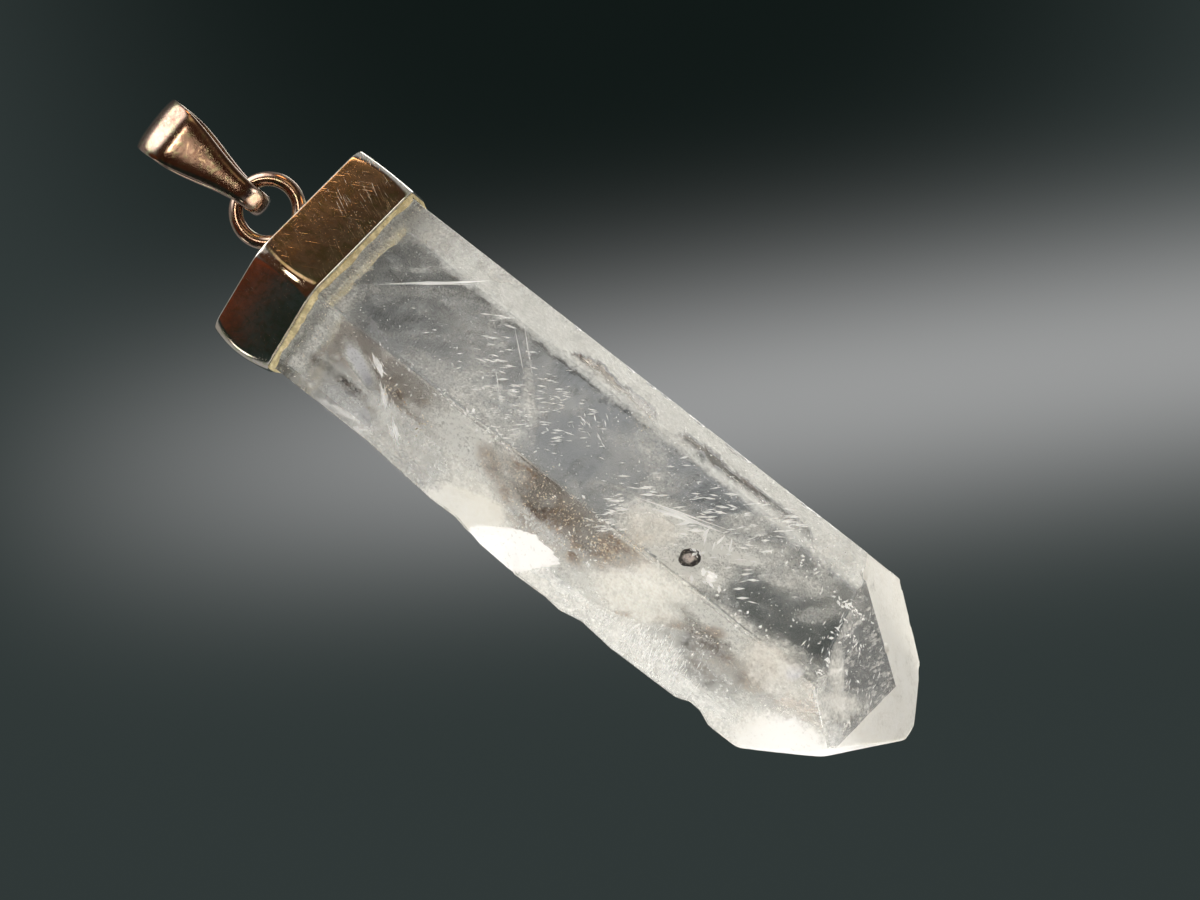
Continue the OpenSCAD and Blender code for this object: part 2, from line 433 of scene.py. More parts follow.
def chipped(points, chips, ripple=0.02):
    """Points inside a chip's ball move straight away from its middle to its surface, which
    leaves a shell-shaped hollow with faint rings."""
    depth = np.zeros(len(points))
    for x, y, level, radius in chips:
        way = points - (x, y, CAP_Z - level)
        far = np.linalg.norm(way, axis=1)
        ring = radius * (1 + ripple / radius * np.sin(9 * way[:, 2] + 4 * way[:, 1]))
        cut = np.clip(ring - far, 0, None)
        points = points + way / far[:, None] * cut[:, None]
        depth = np.maximum(depth, smooth_step(cut, 0, 0.06))
    return points, depth


def in_bright_chip(across, level):
    """1 inside the bright chip facet and 0 outside: a place is inside when it lies on the
    inner side of every edge line."""
    start = BRIGHT_CHIP
    edge = np.roll(start, -1, axis=0) - start
    edge /= np.linalg.norm(edge, axis=1, keepdims=True)
    way = np.column_stack([across, level])[:, None] - start
    off = (way[..., 1] * edge[:, 0] - way[..., 0] * edge[:, 1]).min(1)
    return smooth_step(off, -0.05, 0.07)


def edge_chips(count, seed):
    """Small chips along the crystal's edges and its broken left side, at random places."""
    dice = np.random.default_rng(seed)
    top, bottom, least, most = 13, 43, 0.25, 0.9
    # Edges by the wall before them, in the order of WALLS; the back ones come twice as often
    edges = [1, 2, 3, 4, 5, 5, 4, 3]
    levels = dice.uniform(top, bottom, count)
    corners = section_corners(levels)
    chosen = corners[np.arange(count), dice.choice(edges, count)]
    radius = dice.uniform(least, most, count)
    away = chosen / np.linalg.norm(chosen, axis=1, keepdims=True)
    middle = chosen + away * (radius * dice.uniform(0.72, 0.95, count))[:, None]
    return np.column_stack([middle, levels, radius])


# Frosted patches of the front faces: across, level, half length, half breadth, turn from
# across towards the tip in degrees, strength
FROSTS = [(-6.3, 18.0, 2.4, 1.1, 78, 0.95), (-5.0, 17.2, 1.6, 0.7, 95, 0.35),
          (-7.3, 22.6, 2.2, 0.7, 88, 0.5), (-7.2, 30.0, 3.4, 0.6, 90, 0.22),
          (-6.9, 27.0, 2.6, 0.9, 80, 0.30), (-6.4, 41.0, 3.4, 2.2, 82, 1.0),
          (-5.4, 43.0, 3.0, 1.6, 60, 1.0), (-7.2, 35.8, 2.4, 0.6, 86, 0.35),
          (-4.2, 28.6, 2.6, 1.2, 76, 0.50), (-2.7, 29.6, 1.9, 0.8, 82, 0.42),
          (-0.9, 27.0, 1.5, 0.9, 66, 0.42), (-2.8, 37.2, 1.7, 1.2, 80, 0.5)]
# Hazy patches of the wide tip face, in the same columns
TIP_FROSTS = [(-2.2, 41.2, 1.3, 0.8, 40, 1.0), (-0.6, 40.0, 1.6, 0.35, -35, 0.8),
              (1.8, 38.6, 1.6, 0.3, -20, 0.6)]
# How far the pale band on the back right face draws back from the back edge: level, share
PALE_BAND = np.array([(15.5, 0), (17.0, 1), (22.0, 1), (22.6, 0.2), (23.6, 0.2), (24.2, 1),
                      (33.0, 1), (34.5, 0)])


def frost_of(points, wall, level):
    """How frosted the crystal's surface is. The broken left side and the rough tip faces
    scatter most. The back right face has a pale band, weaker near the cap, which starts
    where the band's line lies. The front faces are clear with frosted patches, and the
    right and back left ones have a light haze. A thin line of frost runs down the back edge
    and a fainter one down the front edge."""
    blotch = cloud(points, 2.2, 61, 4)
    speck = cloud(points, 0.7, 67, 3)
    rough = np.select([wall == w for w in ROUGH_FROM],
                      [level > start for start in ROUGH_FROM.values()], False)
    back_low = smooth_step(-points[:, 0] + 3.4 * blotch, 4.4, 7.2) * smooth_step(level, 13, 19)
    wander = 0.8 * (cloud(points, 0.9, 71, 3) - 0.5)
    front_low = patches(points[:, 0] + wander, level + wander, FROSTS, 0.8)
    band_start = 2.0 + 1.05 * np.interp(level, *PALE_BAND.T)
    on_wall = {
        "front_right": 0.02 + front_low * (0.5 + 0.9 * speck),
        "wide_tip": 0.03 + 0.16 * smooth_step(speck, 0.55, 0.75),
        "narrow_tip": 0.8 + 0 * level,
        "right": 0.04 + 0.1 * smooth_step(blotch, 0.5, 0.7),
        "back_right": (0.16 + 0.5 * smooth_step(level, 3.5, 9.5))
        * (0.7 + 0.45 * speck + 0.2 * blotch)
        * smooth_step(points[:, 0] - band_start - 0.7 * speck, 0, 0.25),
        "back_left": np.maximum(0.55 * back_low, 0.04 + 0.16 * smooth_step(speck, 0.5, 0.75)),
        "left": 0.03 + 0.35 * smooth_step(level, 15, 19) * smooth_step(level, 26, 24)
        + 0.05 * smooth_step(level, 24, 26) + 0.7 * smooth_step(level, 35, 38),
        "front_left": 0.02 + front_low * (0.6 + 0.8 * speck)}
    base = np.select([wall == name for name in on_wall], list(on_wall.values()))
    back_edge = smooth_step(off_edge(points, BACK_EDGE), 0.9 * speck + 0.3, 0.1)
    base = np.maximum(base, 0.55 * back_edge * smooth_step(level, 4, 9))
    front_edge = smooth_step(off_edge(points, FRONT_EDGE), 0.16, 0.04)
    base = np.maximum(base, 0.3 * speck * front_edge * smooth_step(level, 12, 16))
    return np.clip(np.where(rough, 0.62 + 0.26 * blotch + 0.1 * speck, base), 0, 1)


def stone_shape():
    """The finished crystal: the sharp surface, with noise on the broken left side, then worn,
    then chipped. A fan of triangles closes each end. Its marks, from 0 to 1, are the frost,
    how much each place scatters light, the snow, how white it is, and the streaky tip face.
    Chips behind the stone are less frosted than those in front."""
    grid, walls = stone_surface()
    rows, columns = grid.shape[:2]
    points = grid.reshape(-1, 3)
    wall = np.tile(walls, rows)
    level = CAP_Z - points[:, 2]
    relief, break_starts, break_full = 0.28, 13, 17
    on_break = (wall == "left") * smooth_step(level, break_starts, break_full)
    points[:, 0] += on_break * relief * cloud(points, 1.3, 11, 4)
    points = worn(points)
    points, big = chipped(points, CHIPS)
    flat = in_bright_chip(points[:, 0], level) * (wall == "front_left")
    flat += in_bright_chip(points[:, 0], level) * (wall == "left") * (level < CHIP_TURN)
    points[:, :2] -= unit(240) * (CHIP_SINK * flat)[:, None]
    points, small = chipped(points, edge_chips(110, 5), 0.01)
    frost = frost_of(points, wall, level)
    frost += 0.45 * (wall == "wide_tip") * patches(points[:, 0], level, TIP_FROSTS, 0.9)
    behind_frost, front_frost = 0.12, 0.3
    chip_frost = np.where(points[:, 1] > 1, behind_frost, front_frost)
    frost = np.maximum(frost, np.maximum(chip_frost * np.maximum(big, small), flat))
    window = (wall == "wide_tip") * (1 - smooth_step(frost, 0.3, 0.5))
    count = len(points)
    triangles = grid_triangles(rows, columns)
    j = np.arange(columns)
    last = count - columns
    lid = np.stack([np.full(columns, count), (j + 1) % columns, j], -1)
    end = np.stack([np.full(columns, count + 1), last + j, last + (j + 1) % columns], -1)
    snow = np.maximum(flat, 0.9 * smooth_step(level, 36.5, 40) * smooth_step(
        -points[:, 0] + 2.0 * cloud(points, 1.6, 77, 3), 3.4, 6.0))
    # The middle points that close the ends, and their marks
    points = np.vstack([points, [-0.5, 0, grid[0, 0, 2]], points[last:].mean(0)])
    marks = {"frost": np.append(frost, [0.5, 0.8]), "snow": np.append(snow, [0, 0]),
             "streaky": np.append(window, [0, 0])}
    return points, np.concatenate([triangles, lid, end]), marks


# Cloudy patches as they show from the front: across, level, half length, half breadth, turn
# from across towards the tip in degrees, strength
CLOUDS = [
    (-6.2, 37.4, 2.2, 1.39, 82, 0.75), (-5.8, 21.7, 3.18, 1.37, 72, 0.55),
    (-5.8, 26.6, 3.69, 1.11, 80, 0.55), (-5.4, 30.3, 3.35, 1.3, 90, 0.22),
    (-5.6, 18.1, 2.25, 1.2, 92, 1.0), (-4.8, 35.6, 2.24, 0.83, 82, 0.3),
    (-4.8, 40.1, 3.42, 1.08, 58, 1.0), (-4.9, 16.3, 1.4, 1.0, 113, 0.65),
    (-4.2, 27.4, 2.57, 1.09, 72, 0.95), (-3.0, 15.6, 1.5, 1.0, 80, 0.7),
    (-2.3, 34.9, 4.15, 0.95, 90, 0.62), (-2.2, 28.8, 3.69, 0.82, 74, 0.55),
    (-2.0, 38.5, 1.95, 1.07, 102, 0.6), (-1.1, 14.7, 1.74, 0.9, 111, 0.35),
    (-0.3, 25.2, 2.19, 0.62, 77, 0.45), (1.2, 16.6, 2.93, 0.27, 134, 0.38),
    (1.2, 29.4, 4.06, 0.46, 65, 0.42), (1.4, 21.4, 1.33, 0.6, 50, 0.2),
    (1.7, 34.9, 1.61, 0.4, 61, 0.4), (2.1, 13.6, 2.06, 0.5, 131, 0.3),
    (2.5, 7.1, 4.57, 0.15, 54, 0.35), (2.5, 19.0, 1.07, 0.6, 50, 0.18),
    (3.2, 23.5, 2.77, 0.69, 125, 0.42), (4.0, 31.9, 1.9, 0.34, 65, 0.4),
    (4.2, 35.7, 1.43, 0.92, 111, 0.75), (5.3, 11.2, 1.1, 0.35, 72, 0.8),
    (5.4, 9.2, 3.04, 0.76, 74, 0.35), (-4.0, 5.3, 3.4, 0.45, 3, 0.4),
    (-1.6, 41.6, 1.9, 0.8, 60, 0.75), (-2.6, 43.0, 1.6, 0.8, 20, 0.8),
    (0.2, 30.4, 1.2, 0.5, 50, 0.8), (1.1, 32.0, 0.9, 0.35, 60, 0.7)]
# Smooth milky haze, in the same columns
HAZES = [
    (-3.5, 8.4, 1.3, 0.5, 106, 0.9), (-5.9, 8.6, 1.6, 0.35, 92, 0.40),
    (-3.9, 5.6, 3.0, 0.55, 4, 0.55), (0.6, 4.6, 5.0, 0.5, 2, 0.45),
    (-3.2, 15.4, 2.2, 1.2, 96, 0.85), (-1.2, 12.6, 2.8, 0.8, 84, 0.42),
    (-0.2, 14.6, 2.4, 0.6, 120, 0.30), (-1.2, 16.6, 1.6, 0.6, 90, 0.35),
    (0.0, 4.2, 7.5, 0.35, 0, 0.60), (4.2, 5.0, 2.2, 1.1, 60, 0.30),
    (1.6, 8.0, 4.0, 0.35, 54, 0.25), (0.2, 10.6, 3.0, 0.3, 52, 0.20),
    (-5.6, 26.4, 3.0, 1.3, 84, 0.30), (-0.2, 30.6, 2.2, 0.8, 50, 0.55),
    (-4.6, 28.4, 3.0, 1.1, 76, 1.0), (-6.0, 17.4, 1.9, 1.0, 85, 1.0),
    (-2.4, 34.4, 3.2, 0.7, 85, 0.75), (-5.2, 26.4, 1.6, 0.8, 70, 0.7),
    (-3.4, 36.4, 3.2, 0.9, 70, 0.55), (-5.9, 31.4, 2.6, 1.2, 88, 0.10),
    (2.4, 12.8, 3.2, 1.0, 76, 0.12), (3.0, 24.0, 1.6, 0.9, 50, 0.14),
    (-0.8, 27.4, 2.0, 1.7, 70, 1.0), (-0.6, 30.4, 1.9, 1.2, 66, 1.0),
    (0.3, 30.3, 1.8, 1.0, 60, 1.0), (2.8, 30.8, 1.2, 0.5, 60, 0.6),
    (1.6, 32.6, 2.0, 0.7, 55, 0.60), (2.0, 35.2, 1.8, 0.8, 60, 0.45),
    (1.2, 37.2, 1.2, 0.5, 40, 0.35), (-2.7, 28.6, 2.6, 1.1, 84, 1.0),
    (-2.7, 18.6, 1.4, 0.7, 90, 0.75), (-4.2, 18.4, 1.7, 0.6, 88, 0.9),
    (-1.6, 15.8, 2.6, 0.9, 84, 0.50), (0.0, 16.4, 2.2, 0.6, 80, 0.30),
    (2.9, 11.2, 2.2, 0.5, 70, 0.28), (1.8, 26.0, 1.3, 0.6, 40, 0.35)]
# Places where the quartz stays clear, in the same columns
WINDOWS = [
    (3.9, 19.8, 3.11, 1.67, 92, 1.0), (-0.1, 20.5, 1.94, 1.96, 82, 0.8),
    (3.4, 27.8, 3.35, 1.67, 87, 1.0), (0.2, 34.7, 3.6, 1.5, 77, 0.55),
    (0.4, 38.2, 1.63, 1.4, 72, 0.6), (0.8, 40.4, 2.2, 1.7, 70, 0.8),
    (2.7, 10.1, 3.8, 1.05, 63, 0.35), (-0.6, 8.9, 2.46, 1.15, 72, 0.5),
    (-5.2, 9.4, 3.4, 1.9, 90, 1.0), (-4.2, 34.1, 1.68, 1.39, 82, 0.9),
    (-0.6, 15.3, 1.17, 1.59, 129, 0.4), (3.4, 14.6, 1.61, 1.77, 50, 0.4),
    (-6.3, 14.6, 1.9, 0.9, 90, 1.0)]
# Places with a painted bluish-white sheen, in the same columns
PAINTED_SHEENS = [(-3.5, 8.3, 1.2, 0.38, 112, 0.34), (-2.1, 38.35, 0.42, 0.30, 40, 1.0),
        (-5.7, 9.0, 1.5, 0.5, 92, 0.25)]
# Rusty patches, in the same columns
STAINS = [
    (-4.43, 6.13, 0.9, 0.35, 10, 0.30), (-1.97, 6.7, 0.9, 0.35, 20, 0.30),
    (-5.0, 9.1, 1.7, 0.35, 92, 0.40), (-2.6, 9.8, 1.1, 0.4, 72, 0.30),
    (-2.9, 11.8, 1.1, 0.4, 90, 0.30), (-3.8, 10.9, 1.0, 0.55, 130, 0.6),
    (-3.4, 17.9, 1.3, 0.6, 108, 0.30), (-2.6, 19.6, 1.5, 0.6, 88, 0.45),
    (-3.7, 21.9, 2.9, 1.5, 92, 0.50), (-4.1, 21.9, 1.5, 0.9, 96, 0.55),
    (-2.8, 23.4, 1.7, 0.9, 88, 0.40), (-4.1, 24.3, 1.4, 0.9, 80, 0.40),
    (-3.2, 25.9, 1.4, 1.0, 70, 0.45), (-2.6, 27.2, 1.4, 0.5, 63, 0.40),
    (-4.1, 31.2, 1.1, 0.25, 70, 0.40), (-3.3, 33.2, 0.9, 0.35, 60, 0.28),
    (-4.4, 34.2, 1.3, 0.9, 76, 0.40), (-3.9, 36.4, 1.3, 0.7, 82, 0.30),
    (-2.4, 36.9, 1.4, 0.9, 82, 0.25), (-5.5, 28.5, 0.55, 0.12, 62, 0.8)]
# Dark grains in the rust, and painted shade: a dark film on the dusky strips near the cap and on
# the shady patches low on the left
SHADES = [(-3.67, 21.4, 0.7, 0.5, 70, 0.45), (-3.8, 10.9, 0.6, 0.4, 130, 0.5),
          (-4.5, 33.4, 1.5, 0.85, 76, 0.45), (-4.9, 30.9, 1.2, 0.5, 80, 0.3),
          (-4.6, 35.4, 0.8, 0.5, 60, 0.5),
          (-5.0, 8.0, 2.2, 0.40, 92, 0.55), (-4.3, 10.8, 1.8, 0.45, 104, 0.50),
          (-5.7, 11.2, 1.6, 0.5, 90, 0.35), (-2.6, 10.6, 1.4, 0.3, 80, 0.35),
          (-5.3, 34.4, 1.7, 0.6, 84, 0.4)]

# The photo's line of sight, how strongly quartz bends it, and which of the crystal's planes
# it enters by: front right, front left, and the wide and narrow tip faces
VIEW_WAY = np.array([0, 0.987, 0.161])
BENDING = 1.544
FRONT_PLANES = [0, 4, 5, 6, 7]
# The levels that the veils run between, and the spacing of their grids
VEIL_LEVELS, VEIL_STEP = (2, 44), 0.13


def bent_way(normal):
    """Direction of the line of sight inside the quartz, behind a face that looks along
    normal, by the law of bending."""
    facing, ratio = -normal @ VIEW_WAY, 1 / BENDING
    return ratio * VIEW_WAY + (ratio * facing
                               - math.sqrt(1 - ratio ** 2 * (1 - facing ** 2))) * normal


def as_seen(points):
    """Where points inside the crystal show on its front faces: the place across, and the
    level, where the line of sight to each point enters the face that it shows through. Also
    gives the number of that face."""
    planes = stone_planes()
    least = np.full(len(points), FAR)
    across, level, face = (np.zeros(len(points)) for _ in range(3))
    for k in FRONT_PLANES:
        normal, reach = planes[k, :3], planes[k, 3]
        way = bent_way(normal)
        entry = points - ((points @ normal - reach) / (way @ normal))[:, None] * way
        others = np.delete(planes, k, axis=0)
        outside = (entry @ others[:, :3].T - others[:, 3]).max(1)
        nearer = outside < least
        least = np.where(nearer, outside, least)
        across = np.where(nearer, entry[:, 0], across)
        level = np.where(nearer, CAP_Z - entry[:, 2], level)
        face = np.where(nearer, k, face)
    return across, level, face


def behind_front(across, level, depth):
    """The point at a depth behind the front faces that shows at a place across and a level:
    from the surface there, the bent line of sight is followed inwards."""
    planes = stone_planes()[FRONT_PLANES]
    flat = np.column_stack([across, CAP_Z - level])
    back = (planes[:, 3] - flat @ planes[:, [0, 2]].T) / planes[:, 1]
    which = back.argmax(1)
    entry = np.column_stack([across, back.max(1), CAP_Z - level])
    ways = np.array([bent_way(p[:3]) for p in planes])[which]
    return entry + ways * (depth / ways[:, 1])[:, None]


def patches(across, level, table, soft=0.45):
    """The strongest of a table's ellipses at each place, with soft outlines."""
    strongest = np.zeros(len(across))
    for x, l, long, broad, turn, strength in table:
        c, s = math.cos(math.radians(turn)), math.sin(math.radians(turn))
        far = np.hypot(((across - x) * c + (level - l) * s) / long,
                       ((level - l) * c - (across - x) * s) / broad)
        strongest = np.maximum(strongest, strength * smooth_step(1.1 + soft / 2 - far, 0, soft))
    return strongest


def room_inside(points):
    """How deep a point lies under the crystal's nearest face, in millimetres."""
    planes, top_room = stone_planes(), 0.6
    level = CAP_Z - points[:, 2]
    left = np.interp(level, BROKEN_EDGE[:, 0], BROKEN_EDGE[:, 1])
    height = (points @ planes[:, :3].T - planes[:, 3]).max(1)
    over = points[:, 2] - CAP_Z + top_room
    return -np.maximum(height, np.maximum(-points[:, 0] - left, over))


def veil_shape(turn, depth, breadth, wave, seed, share, fog, shows_on):
    """A wavy sheet inside the crystal, level with the wall that looks to a turn and at a
    depth under it. It is cut off just under the crystal's surface. Its marks are the
    patches that show there from the front, with their outlines pulled about by noise. The
    patches are kept to the faces that the sheet shows on, so that none shows twice."""
    (low, high), (top, bottom) = breadth, VEIL_LEVELS
    pull, cut_off, full_from = 0.45, 0.1, 0.25
    a, level = np.meshgrid(np.linspace(low, high, int((high - low) / VEIL_STEP)),
                           np.linspace(top, bottom, int((bottom - top) / VEIL_STEP)),
                           indexing="ij")
    way, side = unit(turn), unit(turn + 90)
    reach = side_reaches(STONE_LEFT)[SIDE_TURNS.index(turn)] - depth
    flat = way * reach + a[..., None] * side
    points = np.concatenate([flat, (CAP_Z - level)[..., None]], -1).reshape(-1, 3)
    points[:, :2] += way * (wave * (cloud(points, 5, seed, 3) - 0.5))[:, None]
    room = room_inside(points)
    across, seen, face = as_seen(points)
    share = share * np.isin(face, shows_on)
    rusty_side = np.where(seen < 15, 1, smooth_step(FRONT_EDGE[0] - across, 0.12, 0.24))
    across = across + pull * (cloud(points, 0.8, seed + 1) - 0.5)
    seen = seen + pull * (cloud(points, 0.8, seed + 2) - 0.5)
    fade = smooth_step(room, cut_off, full_from)
    broken = smooth_step(cloud(points, 1.1, seed + 3, 4), 0.28, 0.72)
    clear = patches(across, seen, WINDOWS)
    # The bluish-white patches of painted sheen
    cold = patches(across, seen, PAINTED_SHEENS)
    milky = (share * patches(across, seen, HAZES, 0.9)
             + fog * (1 - clear) * (0.3 + 1.2 * cloud(points, 3.5, seed + 4, 4)))
    thick = share * patches(across, seen, CLOUDS) * (0.35 + 0.9 * broken)
    stain = share * patches(across, seen, STAINS, 0.8) * (0.45 + 0.8 * broken) * rusty_side
    # Dark grains in the rust, and painted shade on the dusky places
    shade = share * patches(across, seen, SHADES, 0.9) * rusty_side * (0.5 + broken)
    triangles = grid_triangles(*a.shape, closed=False)
    triangles = triangles[(room[triangles] > cut_off).all(1)]
    used, place = np.unique(triangles, return_inverse=True)
    marks = {"milky": milky, "thick": thick, "stain": stain, "shade": shade, "cold": cold}
    return points[used], place.reshape(-1, 3), {
        name: (np.clip(mark, 0, 1) * fade)[used] for name, mark in marks.items()}


# Swarms of flakes: across, level, depth behind the front faces, spread across, spread down,
# how many, length, turn of their long side in degrees (None for any)
SWARMS = [
    (3.0, 12.6, 0.9, 0.4, 0.4, 12, 0.8, 52), (2.2, 13.4, 1.2, 0.5, 0.4, 14, 0.7, 52),
    (1.2, 13.9, 1.0, 0.5, 0.5, 16, 0.7, 52), (-0.2, 14.3, 0.9, 0.6, 0.5, 16, 0.6, 52),
    (0.4, 16.0, 1.2, 0.5, 0.3, 14, 0.7, 54), (-1.1, 17.9, 1.0, 0.5, 0.3, 12, 0.7, 48),
    (0.64, 17.4, 1.2, 0.5, 0.3, 14, 0.7, 50), (1.7, 18.2, 1.4, 0.7, 0.3, 14, 0.6, 56),
    (0.2, 19.8, 1.2, 0.7, 0.3, 16, 0.6, 60), (1.5, 20.7, 1.3, 0.4, 0.6, 18, 0.5, 120),
    (-1.2, 24.9, 1.0, 0.6, 0.3, 22, 1.0, 48), (-0.4, 26.0, 1.1, 0.8, 0.3, 22, 1.0, 46),
    (1.2, 28.8, 1.2, 1.0, 0.4, 20, 1.0, 48), (4.2, 32.7, 1.0, 0.4, 0.3, 14, 0.8, 50),
    (2.2, 33.0, 1.4, 1.2, 0.6, 34, 0.5, 48), (1.6, 31.2, 1.6, 1.0, 0.6, 30, 0.5, 46),
    (-0.78, 31.37, 0.5, 0.12, 0.12, 26, 0.4, None), (-4.2, 15.0, 1.0, 1.0, 2.0, 160, 0.12, None),
    (-3.6, 5.4, 0.8, 1.9, 0.35, 260, 0.13, 60), (3.6, 24.0, 0.8, 1.6, 1.6, 120, 0.12, None),
    (1.0, 12.0, 1.6, 2.6, 4.0, 420, 0.09, None), (3.0, 28.5, 1.2, 1.4, 3.0, 160, 0.10, None),
    (-5.4, 24.0, 1.0, 0.8, 5.0, 160, 0.12, None), (-5.9, 29.6, 0.5, 0.6, 1.2, 190, 0.6, -6),
    (-6.0, 31.6, 0.5, 0.6, 1.2, 190, 0.6, -6), (-5.0, 30.6, 0.8, 0.7, 1.6, 150, 0.4, -10),
    (-4.2, 33.9, 1.2, 1.0, 1.4, 120, 0.12, None), (-3.2, 38.0, 1.0, 1.2, 2.0, 200, 0.14, None),
    (1.0, 36.6, 1.0, 1.8, 1.8, 160, 0.09, None), (0.0, 24.0, 2.0, 5.0, 9.0, 900, 0.08, None),
    (2.6, 38.4, 0.25, 0.1, 0.5, 60, 0.3, None), (1.1, 39.2, 0.25, 0.3, 0.5, 60, 0.3, None),
    (-0.6, 40.0, 0.25, 0.35, 0.4, 70, 0.3, None), (-2.0, 41.0, 0.3, 0.3, 0.7, 50, 0.3, None),
    (0.6, 39.6, 0.35, 1.2, 1.4, 60, 0.5, -14), (-1.4, 41.0, 0.35, 0.8, 0.8, 60, 0.35, -14),
    (0.9, 30.4, 0.5, 0.3, 0.5, 12, 0.9, -20), (-0.9, 31.2, 0.4, 0.2, 0.4, 14, 0.5, None),
    (2.4, 8.3, 0.8, 0.05, 0.05, 2, 7.0, 53), (0.8, 27.9, 1.0, 0.3, 0.2, 3, 6.0, 70),
    (-3.4, 28.5, 0.8, 0.2, 0.2, 3, 5.0, 72), (2.5, 15.0, 1.4, 0.2, 0.2, 2, 3.6, -44),
    (-0.3, 15.7, 1.2, 0.2, 0.2, 2, 3.2, -47), (0.4, 17.2, 1.2, 0.1, 0.1, 2, 3.4, 138),
    (-3.0, 9.3, 0.8, 0.06, 0.12, 7, 1.5, 125), (-4.1, 10.5, 0.8, 0.06, 0.12, 8, 1.7, 133),
    (-5.4, 12.0, 0.8, 0.12, 0.15, 6, 2.0, 131), (-3.0, 9.3, 0.8, 0.15, 0.3, 20, 0.5, 100),
    (-4.2, 10.6, 0.8, 0.2, 0.3, 20, 0.5, 150), (-0.3, 29.9, 0.4, 0.15, 0.15, 12, 0.3, None),
    (0.4, 27.6, 0.9, 1.8, 2.2, 110, 0.7, 48), (2.0, 32.0, 0.9, 1.4, 1.6, 70, 0.7, 47),
    (-0.6, 15.6, 0.9, 1.3, 2.4, 110, 0.5, 50), (1.6, 18.6, 0.9, 1.2, 1.8, 50, 0.5, 54),
    (-4.6, 27.5, 0.6, 1.1, 2.6, 170, 0.28, None), (-3.0, 35.0, 0.7, 1.3, 2.0, 130, 0.26, None),
    (3.6, 34.6, 0.7, 0.8, 1.4, 90, 0.24, None), (-2.0, 15.0, 0.7, 0.9, 2.4, 120, 0.24, None)]
# The golden flakes of the rusty places, in the same columns
RUSTY_SWARMS = [
    (-3.4, 21.4, 0.4, 0.7, 1.4, 170, 0.13, None), (-2.8, 23.2, 0.4, 0.4, 1.0, 90, 0.13, None),
    (-4.1, 24.4, 0.4, 0.5, 0.7, 60, 0.13, None), (-2.9, 26.0, 0.4, 0.4, 0.5, 80, 0.18, None),
    (-1.7, 27.0, 0.5, 0.4, 0.4, 60, 0.20, None), (-3.4, 25.5, 0.4, 0.3, 0.5, 60, 0.16, None),
    (-2.9, 20.4, 0.4, 0.3, 0.7, 60, 0.15, None), (-3.4, 17.7, 0.4, 0.4, 0.6, 30, 0.11, None),
    (-3.7, 10.9, 0.4, 0.25, 0.4, 50, 0.18, None), (-4.1, 13.2, 0.4, 0.4, 0.2, 30, 0.15, None),
    (-3.6, 5.4, 0.5, 1.9, 0.35, 110, 0.10, None), (3.5, 22.9, 0.8, 0.3, 0.3, 16, 0.14, None),
    (-3.3, 33.2, 0.4, 0.3, 0.4, 24, 0.13, None), (0.6, 4.8, 0.5, 3.0, 0.3, 220, 0.10, None)]


def flake_shapes(swarms, seed):
    """Flakes scattered in swarms: each is a thin lozenge with a raised middle, a fan of four
    triangles over a long axis and a short one. Each is placed where it shows from the front.
    Those too near the surface are left out. Over 2 mm long they are straight threads."""
    dice = np.random.default_rng(seed)
    least_room, hump = 0.2, 0.15
    middles, longs, shorts = [], [], []
    for x, level, depth, wide, tall, count, length, turn in swarms:
        # How far turns and tilts scatter, and the least length and the breadth as shares
        spread, tilt, least, thin = (3, 0.02, 0.8, 0.016) if length > 2 else (9, 0.4, 0.3, 0.16)
        if turn is None:
            thin = 0.5
        at = behind_front(dice.normal(x, wide, count), dice.normal(level, tall, count),
                          depth * dice.uniform(0.6, 1.4, count))
        angle = (dice.uniform(0, math.pi, count) if turn is None
                 else np.radians(dice.normal(turn, spread, count)))
        out = dice.normal(0, tilt, count)
        long = np.column_stack([np.cos(angle), out, -np.sin(angle)])
        short = np.column_stack([np.sin(angle), dice.normal(0, 0.6, count), np.cos(angle)])
        size = length * dice.uniform(least, 1.2, count)[:, None]
        middles.append(at)
        longs.append(long * size / 2)
        shorts.append(short * size / 2 * thin * dice.uniform(0.6, 1.3, count)[:, None])
    middle, long, short = map(np.concatenate, (middles, longs, shorts))
    keep = room_inside(middle) > least_room
    middle, long, short = middle[keep], long[keep], short[keep]
    lift = np.cross(long, short) * hump / (np.linalg.norm(short, axis=1)[:, None] + 1e-9)
    points = np.stack([middle + lift, middle + long, middle + short, middle - long,
                       middle - short], 1).reshape(-1, 3)
    fan = np.array([[0, 1, 2], [0, 2, 3], [0, 3, 4], [0, 4, 1]])
    return points, (np.arange(len(middle))[:, None, None] * 5 + fan).reshape(-1, 3)


def grain_shape():
    """The small dark mineral grain: a ball flattened along the view from the front right,
    longer than wide, its radius uneven by noise. Its mark is the pale core."""
    rows, columns, half_thick = 30, 48, 0.16
    across, level, depth = -0.67, 29.78, 0.6
    u, v = np.meshgrid(np.linspace(0, math.pi, rows),
                       np.linspace(0, 2 * math.pi, columns, endpoint=False), indexing="ij")
    ball = np.stack([np.sin(u) * np.cos(v), np.sin(u) * np.sin(v), np.cos(u)], -1).reshape(-1, 3)
    core = smooth_step(np.hypot(ball[:, 0] + 0.1, ball[:, 2] + 0.1), 0.62, 0.42)
    ball *= (0.75 + 0.5 * cloud(ball, 0.7, 91, 3))[:, None]
    side, out = np.append(unit(30), 0), np.append(unit(-60), 0)
    long, short = side * 0.3 + np.array([0, 0, -0.53]), side * 0.55 + np.array([0, 0, 0.2])
    points = ball[:, :1] * short + ball[:, 1:2] * out * half_thick + ball[:, 2:] * long
    place = behind_front(*np.array([[across], [level], [depth]]))
    return points + place, grid_triangles(rows, columns), {"core": core}


# Columns round each bend and along each flat of the collar and of the bead
BEND_STEPS, FLAT_STEPS = 16, 20


